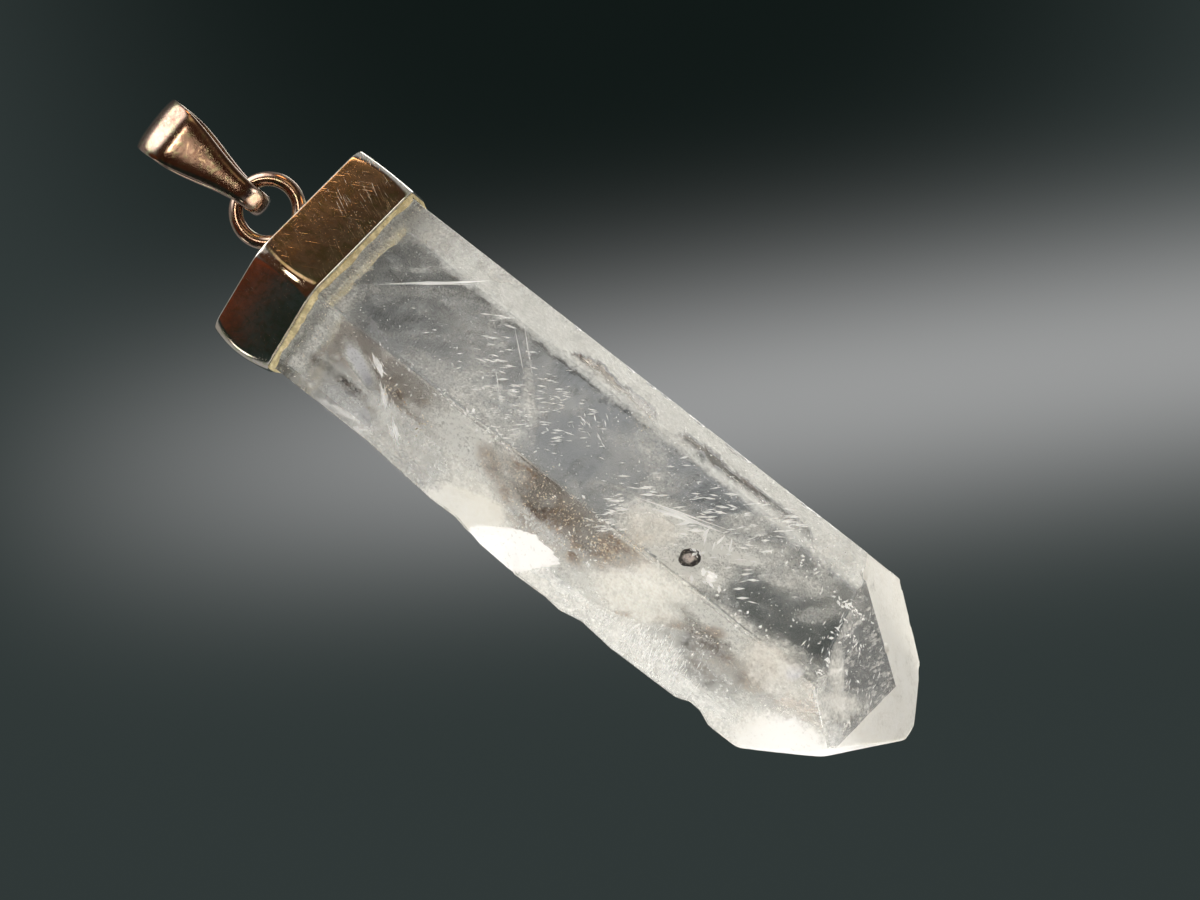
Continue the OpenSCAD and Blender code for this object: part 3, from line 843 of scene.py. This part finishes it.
def bent_outline(grow, bend, bulge=0.0):
    """Outlines of the upper section, a row for each pair of grow and bend: every side moves
    outwards by grow, the left one also by bulge, and every corner turns on a circle of
    radius bend. Gives the points and each column's outward direction."""
    turns = np.array(SIDE_TURNS + [SIDE_TURNS[0] + 360], float)
    grow, bend = np.atleast_1d(grow)[:, None], np.atleast_1d(bend)[:, None]
    inner = side_reaches(UPPER_LEFT)[None] + grow - bend
    inner[:, SIDE_TURNS.index(WALLS["left"])] += bulge
    following = np.roll(inner, -1, axis=1)
    f, g = np.radians(turns[:-1]), np.radians(turns[1:])
    middle = np.stack([inner * np.sin(g) - following * np.sin(f),
                       following * np.cos(f) - inner * np.cos(g)], -1)
    middle /= np.sin(g - f)[None, :, None]
    swing = turns[:-1, None] + 60 * np.linspace(0, 1, BEND_STEPS + 1)
    arcs = middle[:, :, None] + bend[..., None, None] * unit(swing)[None]
    t = np.linspace(0, 1, FLAT_STEPS + 2)[1:-1, None]
    starts = np.roll(arcs[:, :, 0], -1, axis=1)
    flats = arcs[:, :, -1][:, :, None] * (1 - t) + starts[:, :, None] * t
    points = np.concatenate([arcs, flats], axis=2)
    ways = np.concatenate([unit(swing), np.repeat(unit(turns[1:])[:, None], FLAT_STEPS, 1)], 1)
    return points.reshape(len(grow), -1, 2), ways.reshape(-1, 2)


def collar_shape():
    """The silver collar as one closed sleeve: from the middle of its ceiling down the inner
    walls, round the rim, up the outer walls, over the rounded shoulder and in to the middle
    of its top. The sheet is a little uneven, by noise. Between the rim and the shoulder it
    bellies out by a parabola, most on the left, and its bends are tightest half way."""
    inside, outside = CAP_GROW - CAP_WALL, CAP_GROW
    quarter = np.linspace(0, math.pi / 2, 7)
    rim, filed, turned_in, shoulder, belly = 0.10, 0.24, 0.05, 0.12, 0.05
    inner_bend, rim_bend, slack_bend, left_bulge, dent_depth = 0.10, 0.2, 0.7, 0.25, 0.03
    half_way, half_high = (CAP_Z + MOUTH_Z) / 2, (CAP_Z - MOUTH_Z) / 2
    ceiling = CAP_Z - CAP_TOP

    def off_middle(z):
        return np.clip(((z - half_way) / half_high) ** 2, 0, 1)

    def reach(z):
        return outside - belly * off_middle(z)

    rows = [(inside, ceiling, inner_bend, s) for s in (0.0, 0.5, 1.0)]
    rows += [(inside, z, inner_bend, 1) for z in np.linspace(ceiling, MOUTH_Z + rim, 6)[1:]]
    rows += [(inside + rim * (1 - math.cos(a)), MOUTH_Z + rim * (1 - math.sin(a)),
              inner_bend + rim_bend * math.sin(a), 1) for a in quarter[1:]]
    rows += [(reach(MOUTH_Z + filed) - turned_in * (1 - math.sin(a)),
              MOUTH_Z + filed * (1 - math.cos(a)), CAP_BEND, 1) for a in quarter]
    rows += [(reach(z), z, CAP_BEND, 1)
             for z in np.linspace(MOUTH_Z + filed, CAP_Z - shoulder, 30)[1:]]
    rows += [(reach(CAP_Z - shoulder) - shoulder * (1 - math.cos(a)),
              CAP_Z - shoulder * (1 - math.sin(a)), CAP_BEND, 1) for a in quarter[1:]]
    rows += [(reach(CAP_Z - shoulder) - shoulder, CAP_Z, CAP_BEND, s)
             for s in np.linspace(1, 0, 9)[1:]]
    grow, height, bend, share = np.array(rows).T
    is_outer = bend == CAP_BEND
    bend += is_outer * slack_bend * off_middle(height)
    outline, ways = bent_outline(grow, bend, is_outer * left_bulge * (1 - off_middle(height)))
    middle = np.array([(STONE_RIGHT - UPPER_LEFT) / 2, 0])
    flat = middle + (outline - middle) * share[:, None, None]
    heights = np.broadcast_to(height[:, None, None], flat.shape[:2] + (1,))
    points = np.concatenate([flat, heights], -1)
    outer = (grow > inside + rim) & (share == 1)
    dent = dent_depth * cloud(points.reshape(-1, 3), 2.4, 21, 3).reshape(points.shape[:2])
    points[..., :2] -= (dent * outer[:, None])[..., None] * ways[None]
    return points.reshape(-1, 3), grid_triangles(len(rows), outline.shape[1])


def ring_shape():
    """The wire ring: a circle of wire round the Y axis, worn a little thinner at the top
    inside, where the bail rubs."""
    steps, wire_steps, rubbed = 120, 28, 0.05
    u, v = np.meshgrid(np.linspace(0, 2 * math.pi, steps, endpoint=False),
                       np.linspace(0, 2 * math.pi, wire_steps, endpoint=False), indexing="ij")
    rub = rubbed * smooth_step(np.sin(u), 0.7, 1) * smooth_step(-np.cos(v), 0.2, 1)
    wire = WIRE_RADIUS - rub
    far = RING_RADIUS + wire * np.cos(v)
    points = np.stack([far * np.cos(u), wire * np.sin(v), RING_Z + far * np.sin(u)], -1)
    return points.reshape(-1, 3), grid_triangles(steps, wire_steps, looped=True)


def solder_shape():
    """Solder drawn up round the ring's foot: a hollow quarter curve turned round the hanging
    line, from a wide foot on the collar to a narrow neck on the wire, with soft lumps."""
    foot, drawn_in, tall, sunk, lumps, steps = 1.0, 0.6, 0.5, 0.03, 0.22, 48
    a = np.linspace(0, math.pi / 2, 14)
    far = np.concatenate([[0], foot - drawn_in * np.sin(a), [0]])
    high = np.concatenate([[-sunk], tall * (1 - np.cos(a)), [tall]])
    turn = np.linspace(0, 2 * math.pi, steps, endpoint=False)
    r, t = np.meshgrid(far, turn, indexing="ij")
    z = np.broadcast_to(high[:, None], r.shape)
    points = np.stack([r * np.cos(t), r * np.sin(t), CAP_Z + z], -1).reshape(-1, 3)
    points[:, :2] *= (1 - lumps * cloud(points, 0.6, 8, 2))[:, None]
    return points, grid_triangles(len(far), steps)


def loop_line(low, high, steps):
    """A drop-shaped line in the YZ plane: an arc of radius high round the origin, an arc of
    radius low round the ring's top wire, and straight sides between them."""
    reach = -WIRE_Z
    rise = math.asin((high - low) / reach)
    over = np.linspace(-(math.pi / 2 + rise), math.pi / 2 + rise, steps)
    under = np.linspace(math.pi / 2 + rise, 1.5 * math.pi - rise, steps)
    top = np.stack([high * np.sin(over), high * np.cos(over)], -1)
    foot = np.stack([low * np.sin(under), WIRE_Z + low * np.cos(under)], -1)
    t = np.linspace(0, 1, 18)[1:-1, None]
    return np.concatenate([top, top[-1] * (1 - t) + foot[0] * t, foot,
                           foot[-1] * (1 - t) + top[0] * t])


def bail_shape():
    """The bail: a rounded strap carried along a drop-shaped loop. Its thickness is the gap
    between an inner and an outer line, and its width follows a cosine from the foot up. Its
    section is a squared ellipse, by powers of the sine and cosine, crowned on the outside."""
    steps, section_steps, widest_from, side_power, face_power = 40, 36, 0.6, 0.45, 0.6
    inner = loop_line(BAIL_GAP, BAIL_TOP - BAIL_SHEET, steps)
    outer = loop_line(BAIL_GAP + BAIL_FOOT, BAIL_TOP, steps)
    middle, half = (inner + outer) / 2, (outer - inner) / 2
    low, high = WIRE_Z - BAIL_GAP, BAIL_TOP * widest_from
    f = np.clip((middle[:, 1] - low) / (high - low), 0, 1)
    width = (BAIL_FOOT_WIDTH + (BAIL_WIDTH - BAIL_FOOT_WIDTH) * (1 - np.cos(math.pi * f)) / 2) / 2
    v = np.linspace(0, 2 * math.pi, section_steps, endpoint=False)
    across = np.sign(np.cos(v)) * np.abs(np.cos(v)) ** side_power
    out = np.sign(np.sin(v)) * np.abs(np.sin(v)) ** face_power
    rounding, polish_loss = 0.3, 0.995
    crown = out - rounding * np.clip(out, 0, 1) * across ** 2
    x = width[:, None] * across[None] * polish_loss
    yz = middle[:, None] + half[:, None] * crown[None, :, None] * polish_loss
    points = np.concatenate([x[..., None], yz], -1)
    return points.reshape(-1, 3), grid_triangles(len(x), section_steps, looped=True)


def bead_shape():
    """The bead of cement along the collar's mouth, carried round the crystal: thick under the
    collar, thinning to a feathered and uneven lower edge on the stone."""
    inner = 0.055
    top = MOUTH_Z - inner
    # Out from the stone, down from the collar
    rows = [(inner, 0), (0.22, 0), (0.235, 0.05), (0.20, 0.13), (0.15, 0.22), (0.10, 0.32),
            (inner + 0.01, 0.42), (inner, 0.40)]
    grow, drop = np.array(rows).T
    outline, _ = bent_outline(grow, 4 * grow)
    wander = cloud(np.column_stack([outline[1], 0 * outline[1][:, 0]]), 0.8, 31, 4)
    depth = drop[:, None] * (0.5 + 0.5 * smooth_step(wander, 0.2, 0.75))[None]
    points = np.concatenate([outline, (top - depth)[..., None]], -1)
    return points.reshape(-1, 3), grid_triangles(len(rows), outline.shape[1], looped=True)


# Finishes

def silver_finish(name, clean, tarnished, polish):
    """Worn silver. Fine scratches run in several directions, each set in its own patches and
    most towards the right; the tarnish lies in clouds and dark spots, with olive and golden
    tints between, and the metal's surface waves a little."""
    material, place = new_material(name)
    to_right = place.make("ShaderNodeSeparateXYZ", {}, {"Vector": place}, output="X").ramp(
        -0.002, 0.005) * 0.7 + 0.3
    scratches = None
    # Sets of scratches: turn of the wall, slope, fineness across and along, least noise
    for wall, slope, breadth, length, least in (
            (-30, -29, 12500, 420, 0.62), (-30, 32, 15000, 360, 0.67),
            (-30, -20, 17000, 400, 0.66), (30, -38, 14500, 460, 0.68)):
        lines = place.turned(0, 0, wall).turned(0, slope, 0).scaled(
            breadth, breadth, length).noise(1, 1, 0.5).ramp(least, least + 0.05)
        lines = lines * (place.noise(500 + 9 * abs(slope), 2, 0.5).ramp(0.40, 0.70) * 0.9 + 0.05)
        scratches = lines if scratches is None else scratches + lines
    scratches = (scratches * to_right).math("MINIMUM", 1.0)
    soft = place.noise(520, 4, 0.6)
    mottle = place.noise(1900, 5, 0.7, 0.4)
    spots = place.noise(4200, 4, 0.7).ramp(0.52, 0.70)
    olive, golden = (0.52, 0.56, 0.34), (0.95, 0.78, 0.50)
    tint = (soft.ramp(0.35, 0.7) * 0.7 + spots * 0.3).blend(clean, tarnished)
    tint = (mottle.ramp(0.50, 0.62) * 0.55).blend(tint, olive)
    tint = (mottle.ramp(0.44, 0.34) * 0.5).blend(tint, golden)
    waves = (soft * 2.6 + mottle * 0.7 - scratches).bumps(0.9, 0.000005)
    place.solid(tint, soft * 0.05 + spots * 0.06 + scratches * 0.22 + polish,
                {"Metallic": 1.0, "Normal": waves}).close()
    return material


def cement_finish():
    """Yellowed clear cement with dark specks and tiny bubbles; some light comes through, and
    thin places show what lies behind."""
    material, place = new_material("yellowed cement")
    grain = place.noise(2200, 4, 0.65)
    bubbles = place.noise(7000, 2, 0.5).ramp(0.62, 0.70)
    specks = place.noise(3600, 2, 0.5).ramp(0.70, 0.75)
    tint = grain.ramp(0.3, 0.7).blend(linear(226, 215, 174), linear(196, 180, 134))
    tint = (bubbles * 0.6).blend(tint, linear(246, 240, 214))
    tint = specks.blend(tint, linear(46, 34, 22))
    pitted = {"Normal": (grain + bubbles * 0.3).bumps(0.5, 0.00004)}
    body = place.solid(tint, grain * 0.2 + 0.25, pitted).mixed(
        0.5 - specks * 0.4, place.thin(linear(226, 212, 166), pitted))
    nothing = place.make("ShaderNodeBsdfTransparent")
    nothing.mixed(grain.ramp(0.62, 0.34) * 0.35 + 0.55, body).close()
    return material


def quartz_finish():
    """Clear quartz that turns to frosted quartz where the frost mark and cloudy patches say:
    the clear shader lets light through straight, the frosted one scatters it both ways.
    Where the snow mark says, the frosted one turns to white."""
    material, place = new_material("quartz")
    frost, streaky, snow = (place.mark(name) for name in ("frost", "streaky", "snow"))
    growth = (place.scaled(110, 110, 2300).noise(1, 4, 0.6)
              * place.noise(260, 3, 0.6).ramp(0.48, 0.66))
    pits = place.noise(2600, 4, 0.65)
    haze = place.noise(900, 6, 0.68)
    grit = place.noise(4200, 4, 0.7)
    between = frost * (1 - frost)
    streaks = (place.turned(0, -12, 0).scaled(900, 900, 4200).noise(1, 3, 0.6).ramp(0.48, 0.62)
               * haze.ramp(0.40, 0.58) * 0.55 + grit.ramp(0.54, 0.62) * 0.30 + 0.02)
    mask = (frost * 1.25 + (haze - 0.5) * between * 4.4 + (grit - 0.5) * between * 4.0
            ).ramp(0.0, 1.0).math("MAXIMUM", streaky * streaks)
    fine = {"Normal": (growth * 0.12 + pits * (frost + 0.02) + grit * frost * 0.5).bumps(
        0.6, 0.00006)}
    clear = place.solid((0.97, 0.98, 0.98), frost * 0.10 + 0.01, {
        "IOR": BENDING, "Transmission Weight": 1.0, **fine})
    cream = (haze.ramp(0.3, 0.7) * 0.5 + grit.ramp(0.3, 0.7) * 0.5).blend(
        (0.88, 0.85, 0.77), (0.99, 0.98, 0.945))
    frosted = place.solid(cream, pits * 0.2 + 0.45, {
        "IOR": BENDING, "Transmission Weight": 0.6, **fine})
    frosted = frosted.mixed(0.4, place.thin((0.97, 0.96, 0.91), fine))
    white = grit.ramp(0.34, 0.42).blend((0.74, 0.73, 0.70), (0.99, 0.985, 0.97))
    snowy = place.solid(white, pits * 0.2 + 0.4, fine).mixed(
        0.35, place.thin((0.98, 0.98, 0.97)))
    clear.mixed(mask, frosted.mixed(snow, snowy)).close()
    return material


def ridges(noise, sharpness):
    """Thin bright lines where a noise passes its middle value."""
    return (1 - (noise * 2 - 1).math("ABSOLUTE")) ** sharpness


def film(place, colour, through_colour, roughness):
    """A thin scattering film, lit from both sides."""
    return place.solid(colour, roughness).mixed(0.5, place.thin(through_colour))


def veil_finish():
    """A healed fracture inside the quartz. Milky places are smooth, with a fine grain only.
    Thick ones are white, broken up by wisps, threads and crumbs. Iron stains are granular
    umber with golden crumbs and dark grains; a dark film paints shade on dusky places, and a
    bluish-white film paints a sheen."""
    material, place = new_material("cloudy veil")
    milky, thick, stain, shade, cold = (
        place.mark(name) for name in ("milky", "thick", "stain", "shade", "cold"))
    wisps = place.turned(0, 35, 0).scaled(1, 1, 0.6).noise(1000, 6, 0.7, 0.6)
    threads = (ridges(place.noise(420, 3, 0.6, 0.8), 26)
               + ridges(place.turned(0, 38, 0).scaled(1, 1, 0.35).noise(900, 3, 0.6), 22) * 0.8)
    grain = place.noise(4800, 5, 0.75)
    fine = place.noise(9000, 3, 0.7)
    crumbs = place.noise(3000, 3, 0.6).ramp(0.60, 0.70)
    specks = place.noise(6000, 2, 0.5).ramp(0.66, 0.72)
    body = wisps.ramp(0.30, 0.72) * 0.75 + 0.18
    rust_grain = (grain * 0.6 + wisps * 0.4).ramp(0.36, 0.60)
    cover = (milky * (wisps * 0.9 + 0.56) * (fine.ramp(0.40, 0.60) * 0.35 + 0.45
                                             + grain.ramp(0.38, 0.62) * 0.4)
             + thick * body * (grain.ramp(0.32, 0.62) * 0.9 + 0.35)
             + thick * (threads * 0.3 + crumbs * 0.6)
             + stain * (rust_grain * 0.75 + crumbs * 0.3 + 0.05)
             + shade * (rust_grain * 0.6 + 0.1) + specks * milky + cold * 0.6)
    rusty = (stain * (rust_grain + 0.35) * 1.7 - crumbs * 0.4).math("MINIMUM", 1.0)
    shady = (shade * (grain.ramp(0.35, 0.6) * 0.8 + 0.5)).math("MINIMUM", 1.0)
    umber = fine.ramp(0.35, 0.65).blend(linear(102, 84, 74), linear(176, 152, 132))
    umber = place.noise(3800, 3, 0.6).ramp(0.54, 0.64).blend(umber, linear(222, 202, 166))
    snow_white, sheen_blue = linear(253, 253, 249), linear(200, 206, 238)
    white = film(place, snow_white, snow_white, 0.6)
    rust = film(place, umber, linear(164, 142, 124), 0.6)
    # The dark film is for the dark grains and for painted shade
    dark = film(place, linear(58, 54, 52), linear(62, 58, 56), 0.5)
    # The bluish-white film is a painted sheen
    blue = film(place, sheen_blue, sheen_blue, 0.5)
    shader = white.mixed(rusty, rust).mixed(shady, dark).mixed(cold * 0.7, blue)
    nothing = place.make("ShaderNodeBsdfTransparent")
    nothing.mixed(cover.math("MINIMUM", 0.97), shader).close()
    return material


def grain_finish():
    """A dark mineral grain with a pale pinkish core and pale crumbs on it."""
    material, place = new_material("dark grain")
    crumbs = place.noise(5200, 3, 0.6)
    tint = (crumbs.ramp(0.54, 0.66) * 0.7).blend(linear(44, 40, 40), linear(170, 164, 150))
    tint = (place.mark("core") * (crumbs.ramp(0.3, 0.55) * 0.6 + 0.4)).blend(
        tint, linear(226, 214, 208))
    place.solid(tint, crumbs * 0.4 + 0.3, {"Normal": crumbs.bumps(0.6, 0.00005)}).close()
    return material


def flake_finish(name, pale, deep, through_colour, flash):
    """Bubble walls and flakes inside the quartz. They throw more light than the studio
    gives them by their flash, a faint glow of their own that lights nothing else."""
    material, place = new_material(name)
    material.cycles.emission_sampling = "NONE"
    speckle = place.noise(3000, 2)
    mirror = place.solid(speckle.ramp(0.35, 0.65).blend(pale, deep), speckle * 0.3 + 0.12, {
        "Emission Color": pale, "Emission Strength": flash})
    mirror.mixed(0.45, place.thin(through_colour)).close()
    return material


# Light, floor and camera

FLOOR_Z, FLOOR_REACH = -1200.0, 1200
# Right and up in the photo as directions, and its focal length in pixels
PICTURE_RIGHT, PICTURE_UP = np.array([0.615, 0.131, -0.777]), np.array([0.788, -0.094, 0.608])
LENS_PX = 7200
# Places in the photo, in pixels: its middle, the dark above it, and the pale band's middle
# and ends
MIDDLE_PX, DARK_PX, BAND_PX = (600, 450), (600, -150), (1130, 340)
BAND_LEFT_PX, BAND_RIGHT_PX = (0, 500), (1200, 350)


def soft_world(plain, cards):
    """A studio of soft cards. Each card covers the plain grey with its colour, fully within
    its inner angle and fading out by its outer angle. A lamp lights the pendant and doesn't
    show by itself, and a side lamp doesn't show in the metal either. A fill light only
    reaches what scatters light. A card with a band also fades away from the plane that the
    band's direction is square to, as a bell curve of the band's breadth."""
    world = bpy.data.worlds.new("soft studio")
    bpy.context.scene.world = world
    world.use_nodes = True
    world.node_tree.nodes.clear()
    way = Signal(world.node_tree).make("ShaderNodeTexCoord", output="Generated")
    seen = way.make("ShaderNodeLightPath", output="Is Camera Ray")
    mirrored = way.make("ShaderNodeLightPath", output="Is Glossy Ray")
    scattered = way.make("ShaderNodeLightPath", output="Diffuse Depth")

    def along(line):
        line = np.array(line, float) / np.linalg.norm(line)
        return way.make("ShaderNodeVectorMath", {"operation": "DOT_PRODUCT"},
                        {0: way, 1: line}, output="Value")

    colour = plain
    for middle, inner, outer, paint, kind, *bands in cards:
        cover = along(middle).ramp(math.cos(math.radians(outer)), math.cos(math.radians(inner)))
        if kind in ("lamp", "side lamp"):
            cover = cover * (1 - seen)
        if kind == "side lamp":
            cover = cover * (1 - mirrored)
        if kind == "fill":
            cover = cover * scattered.math("MINIMUM", 1.0)
        for across, breadth in bands:
            off = along(across) / breadth
            cover = cover * (off * off * -1).math("EXPONENT")
        colour = way.make("ShaderNodeMix", {"data_type": "RGBA", "clamp_factor": True},
                          {"Factor": cover, "A": colour, "B": paint}, output="Result")
    background = way.make("ShaderNodeBackground", {}, {"Color": colour})
    node = world.node_tree.nodes.new("ShaderNodeOutputWorld")
    world.node_tree.links.new(background.socket, node.inputs["Surface"])


def pale_floor():
    """A plain pale floor far under the hanging pendant, a flat disc in rings."""
    far, turn = np.meshgrid(np.linspace(0, FLOOR_REACH, 25),
                            np.linspace(0, 2 * math.pi, 97)[:-1], indexing="ij")
    points = np.stack([far * np.cos(turn), far * np.sin(turn), FLOOR_Z + 0 * far], -1)
    material, place = new_material("pale floor")
    place.solid(place.noise(30, 3, 0.5).blend((0.60, 0.60, 0.59), (0.66, 0.66, 0.65)),
                0.8).close()
    points, triangles, _ = welded(points.reshape(-1, 3), grid_triangles(25, 96), {})
    mesh = bpy.data.meshes.new("floor")
    mesh.from_pydata((points * MM).tolist(), [], triangles.tolist())
    mesh.materials.append(material)
    floor = bpy.data.objects.new("floor", mesh)
    bpy.context.scene.collection.objects.link(floor)


def photo_camera():
    """A long lens held a little below the pendant and rolled, so that the pendant runs from
    the upper left to the lower right of the picture."""
    away, aim = 404.6, Vector((0.93, 0, -29.85)) * MM
    turn, rise, roll = math.radians(0.4), math.radians(-9.27), math.radians(51.96)
    back = Vector((math.sin(turn) * math.cos(rise), -math.cos(rise), math.sin(rise)))
    data = bpy.data.cameras.new("camera")
    data.lens, data.sensor_width = 216, 36
    data.clip_start, data.clip_end = 0.01, 20
    camera = bpy.data.objects.new("camera", data)
    turned = back.to_track_quat("Z", "Y").to_matrix() @ Matrix.Rotation(-roll, 3, "Z")
    camera.matrix_world = Matrix.Translation(aim + back * away * MM) @ turned.to_4x4()
    bpy.context.scene.collection.objects.link(camera)
    bpy.context.scene.camera = camera


def behind(place):
    """Direction from the camera through a place in the photo, in pixels."""
    ahead = np.cross(PICTURE_UP, PICTURE_RIGHT)
    (px, py), (middle_x, middle_y) = place, MIDDLE_PX
    return (ahead + PICTURE_RIGHT * (px - middle_x) / LENS_PX
            + PICTURE_UP * (middle_y - py) / LENS_PX)


def around(turn, rise):
    """The direction that looks to an angle round from +X and rises by an angle, in degrees."""
    return np.append(unit(turn) * math.cos(math.radians(rise)), math.sin(math.radians(rise)))


photo_camera()
pale_floor()

# Direction, inner and outer angle, colour and kind of each card, and any bands
CARDS = [
    # Dark, warm and olive cards that the metal mirrors
    ((0.3, -0.8, -0.55), 26, 46, (0.050, 0.040, 0.045), "lamp"),
    (around(-30, 3), 26, 50, (0.058, 0.033, 0.020), "lamp"),
    (around(-24, 16), 2, 8, (0.16, 0.085, 0.036), "lamp"),
    (around(-38, 7), 2, 9, (0.050, 0.048, 0.022), "lamp"),
    (around(-30, -28), 10, 24, (0.030, 0.015, 0.020), "lamp"),
    (around(-150, 0), 30, 54, (0.018, 0.025, 0.022), "lamp"),
    (around(-92, 5), 26, 42, (0.055, 0.024, 0.013), "lamp"),
    (around(-142, 30), 12, 22, (0.11, 0.030, 0.014), "lamp"),
    ((-0.02, 0.75, 0.66), 14, 36, (0.09, 0.09, 0.088), "lamp"),
    # The backdrop: slate grey, darker at the top, with a pale band across it
    (behind(MIDDLE_PX), 12, 40, (0.030, 0.040, 0.039), "card"),
    (behind(DARK_PX), 1.5, 6, (0.006, 0.010, 0.009), "card"),
    (behind(BAND_PX), 1, 10, (0.32, 0.325, 0.325), "card",
     (np.cross(behind(BAND_LEFT_PX), behind(BAND_RIGHT_PX)), 0.0174)),
    # The stone's light: behind it on the left and the right, above, in front and below
    ((-0.67, 0.42, -0.61), 26, 41, (4.4, 4.4, 4.4), "side lamp"),
    ((0.66, 0.58, -0.48), 14, 32, (4.8, 4.75, 4.5), "side lamp"),
    ((0.2, -0.45, 1), 20, 38, (3.4, 3.3, 3.2), "lamp"),
    ((-0.47, -0.67, -0.57), 12, 26, (9.5, 9.5, 9.3), "fill"),
    ((0.55, -0.25, -0.8), 14, 30, (3.8, 3.75, 3.5), "lamp"),
    # Small lamps that flash along the cap's edges and the wire
    (around(-19, 26), 3, 9, (6.0, 2.8, 1.1), "lamp"),
    (around(-52, 10), 5, 14, (0.75, 0.52, 0.30), "lamp"),
    (around(180, 10), 4, 9, (2.4, 2.3, 2.1), "lamp"),
    (around(62, 10), 5, 13, (3.0, 2.95, 2.8), "lamp"),
    (around(-150, -24), 3, 7, (1.6, 1.5, 1.4), "lamp"),
    (around(-90, 8), 3, 12, (16.0, 13.5, 10.5), "lamp", (around(-90, 98), 0.03))]
soft_world((0.34, 0.34, 0.335), CARDS)

silver = silver_finish("worn silver", (0.93, 0.90, 0.84), (0.60, 0.48, 0.36), 0.06)
# The wire's dark reddish-brown tints are painted reflection and shade of dark, warm surroundings,
# laid over its tarnish
wire_silver_painted_reflection = silver_finish(
    "tarnished silver wire with painted reflection", (0.52, 0.38, 0.31), (0.22, 0.11, 0.08), 0.12)
# Piece, shape, finish, body, slot, the node that it stands for, crease in degrees
PIECES = [("collar", collar_shape, silver, "drop", "silver", "cap", 50),
          ("ring", ring_shape, wire_silver_painted_reflection, "drop", "silver", "cap", None),
          ("solder", solder_shape, wire_silver_painted_reflection, "drop", "silver", "cap", None),
          ("bail_strap", bail_shape, wire_silver_painted_reflection, "bail", "silver", "bail", None),
          ("cement", bead_shape, cement_finish(), "drop", "glue", "glue_line", None),
          ("quartz_point", stone_shape, quartz_finish(), "drop", "quartz", "crystal", 32)]
for name, shape, finish, body, slot, node, crease in PIECES:
    points, triangles, *marks = shape()
    add_piece(name, points, triangles, finish, body, slot, [node], *(marks or [{}]), crease)

veil = veil_finish()
VEILS = {
    "veil_front_right": dict(turn=-60, depth=0.8, breadth=(-5, 5), wave=0.8, seed=41,
                             share=1.0, fog=0.13, shows_on=[0, 5, 6, 7]),
    "veil_front_left": dict(turn=240, depth=0.5, breadth=(-4, 4), wave=0.45, seed=47,
                            share=1.0, fog=0.07, shows_on=[4]),
    "veil_middle": dict(turn=-60, depth=4.2, breadth=(-7, 7), wave=2.2, seed=53,
                        share=0.0, fog=0.23, shows_on=[])}
for name, shape in VEILS.items():
    points, triangles, marks = veil_shape(**shape)
    add_piece(name, points, triangles, veil, marks=marks, is_shell=False)
points, triangles, marks = grain_shape()
add_piece("dark_grain", points, triangles, grain_finish(), marks=marks)
# Piece, its swarms, seed, finish, and its colours, pale, deep and through, with its flash
FLAKES = [("flakes", SWARMS, 12, "bright flakes",
           (0.98, 0.97, 0.95), (0.93, 0.92, 0.90), (0.95, 0.94, 0.92), 0.4),
          ("rusty_flakes", RUSTY_SWARMS, 17, "rusty flakes",
           (0.97, 0.91, 0.80), (0.90, 0.74, 0.56), (0.92, 0.84, 0.72), 0.08)]
for name, swarms, seed, *finish in FLAKES:
    points, triangles = flake_shapes(swarms, seed)
    add_piece(name, points, triangles, flake_finish(*finish), is_shell=False)

scene = bpy.context.scene
scene.view_settings.view_transform = "Standard"
scene.cycles.max_bounces = 16
scene.cycles.transmission_bounces = 16
scene.cycles.transparent_max_bounces = 24
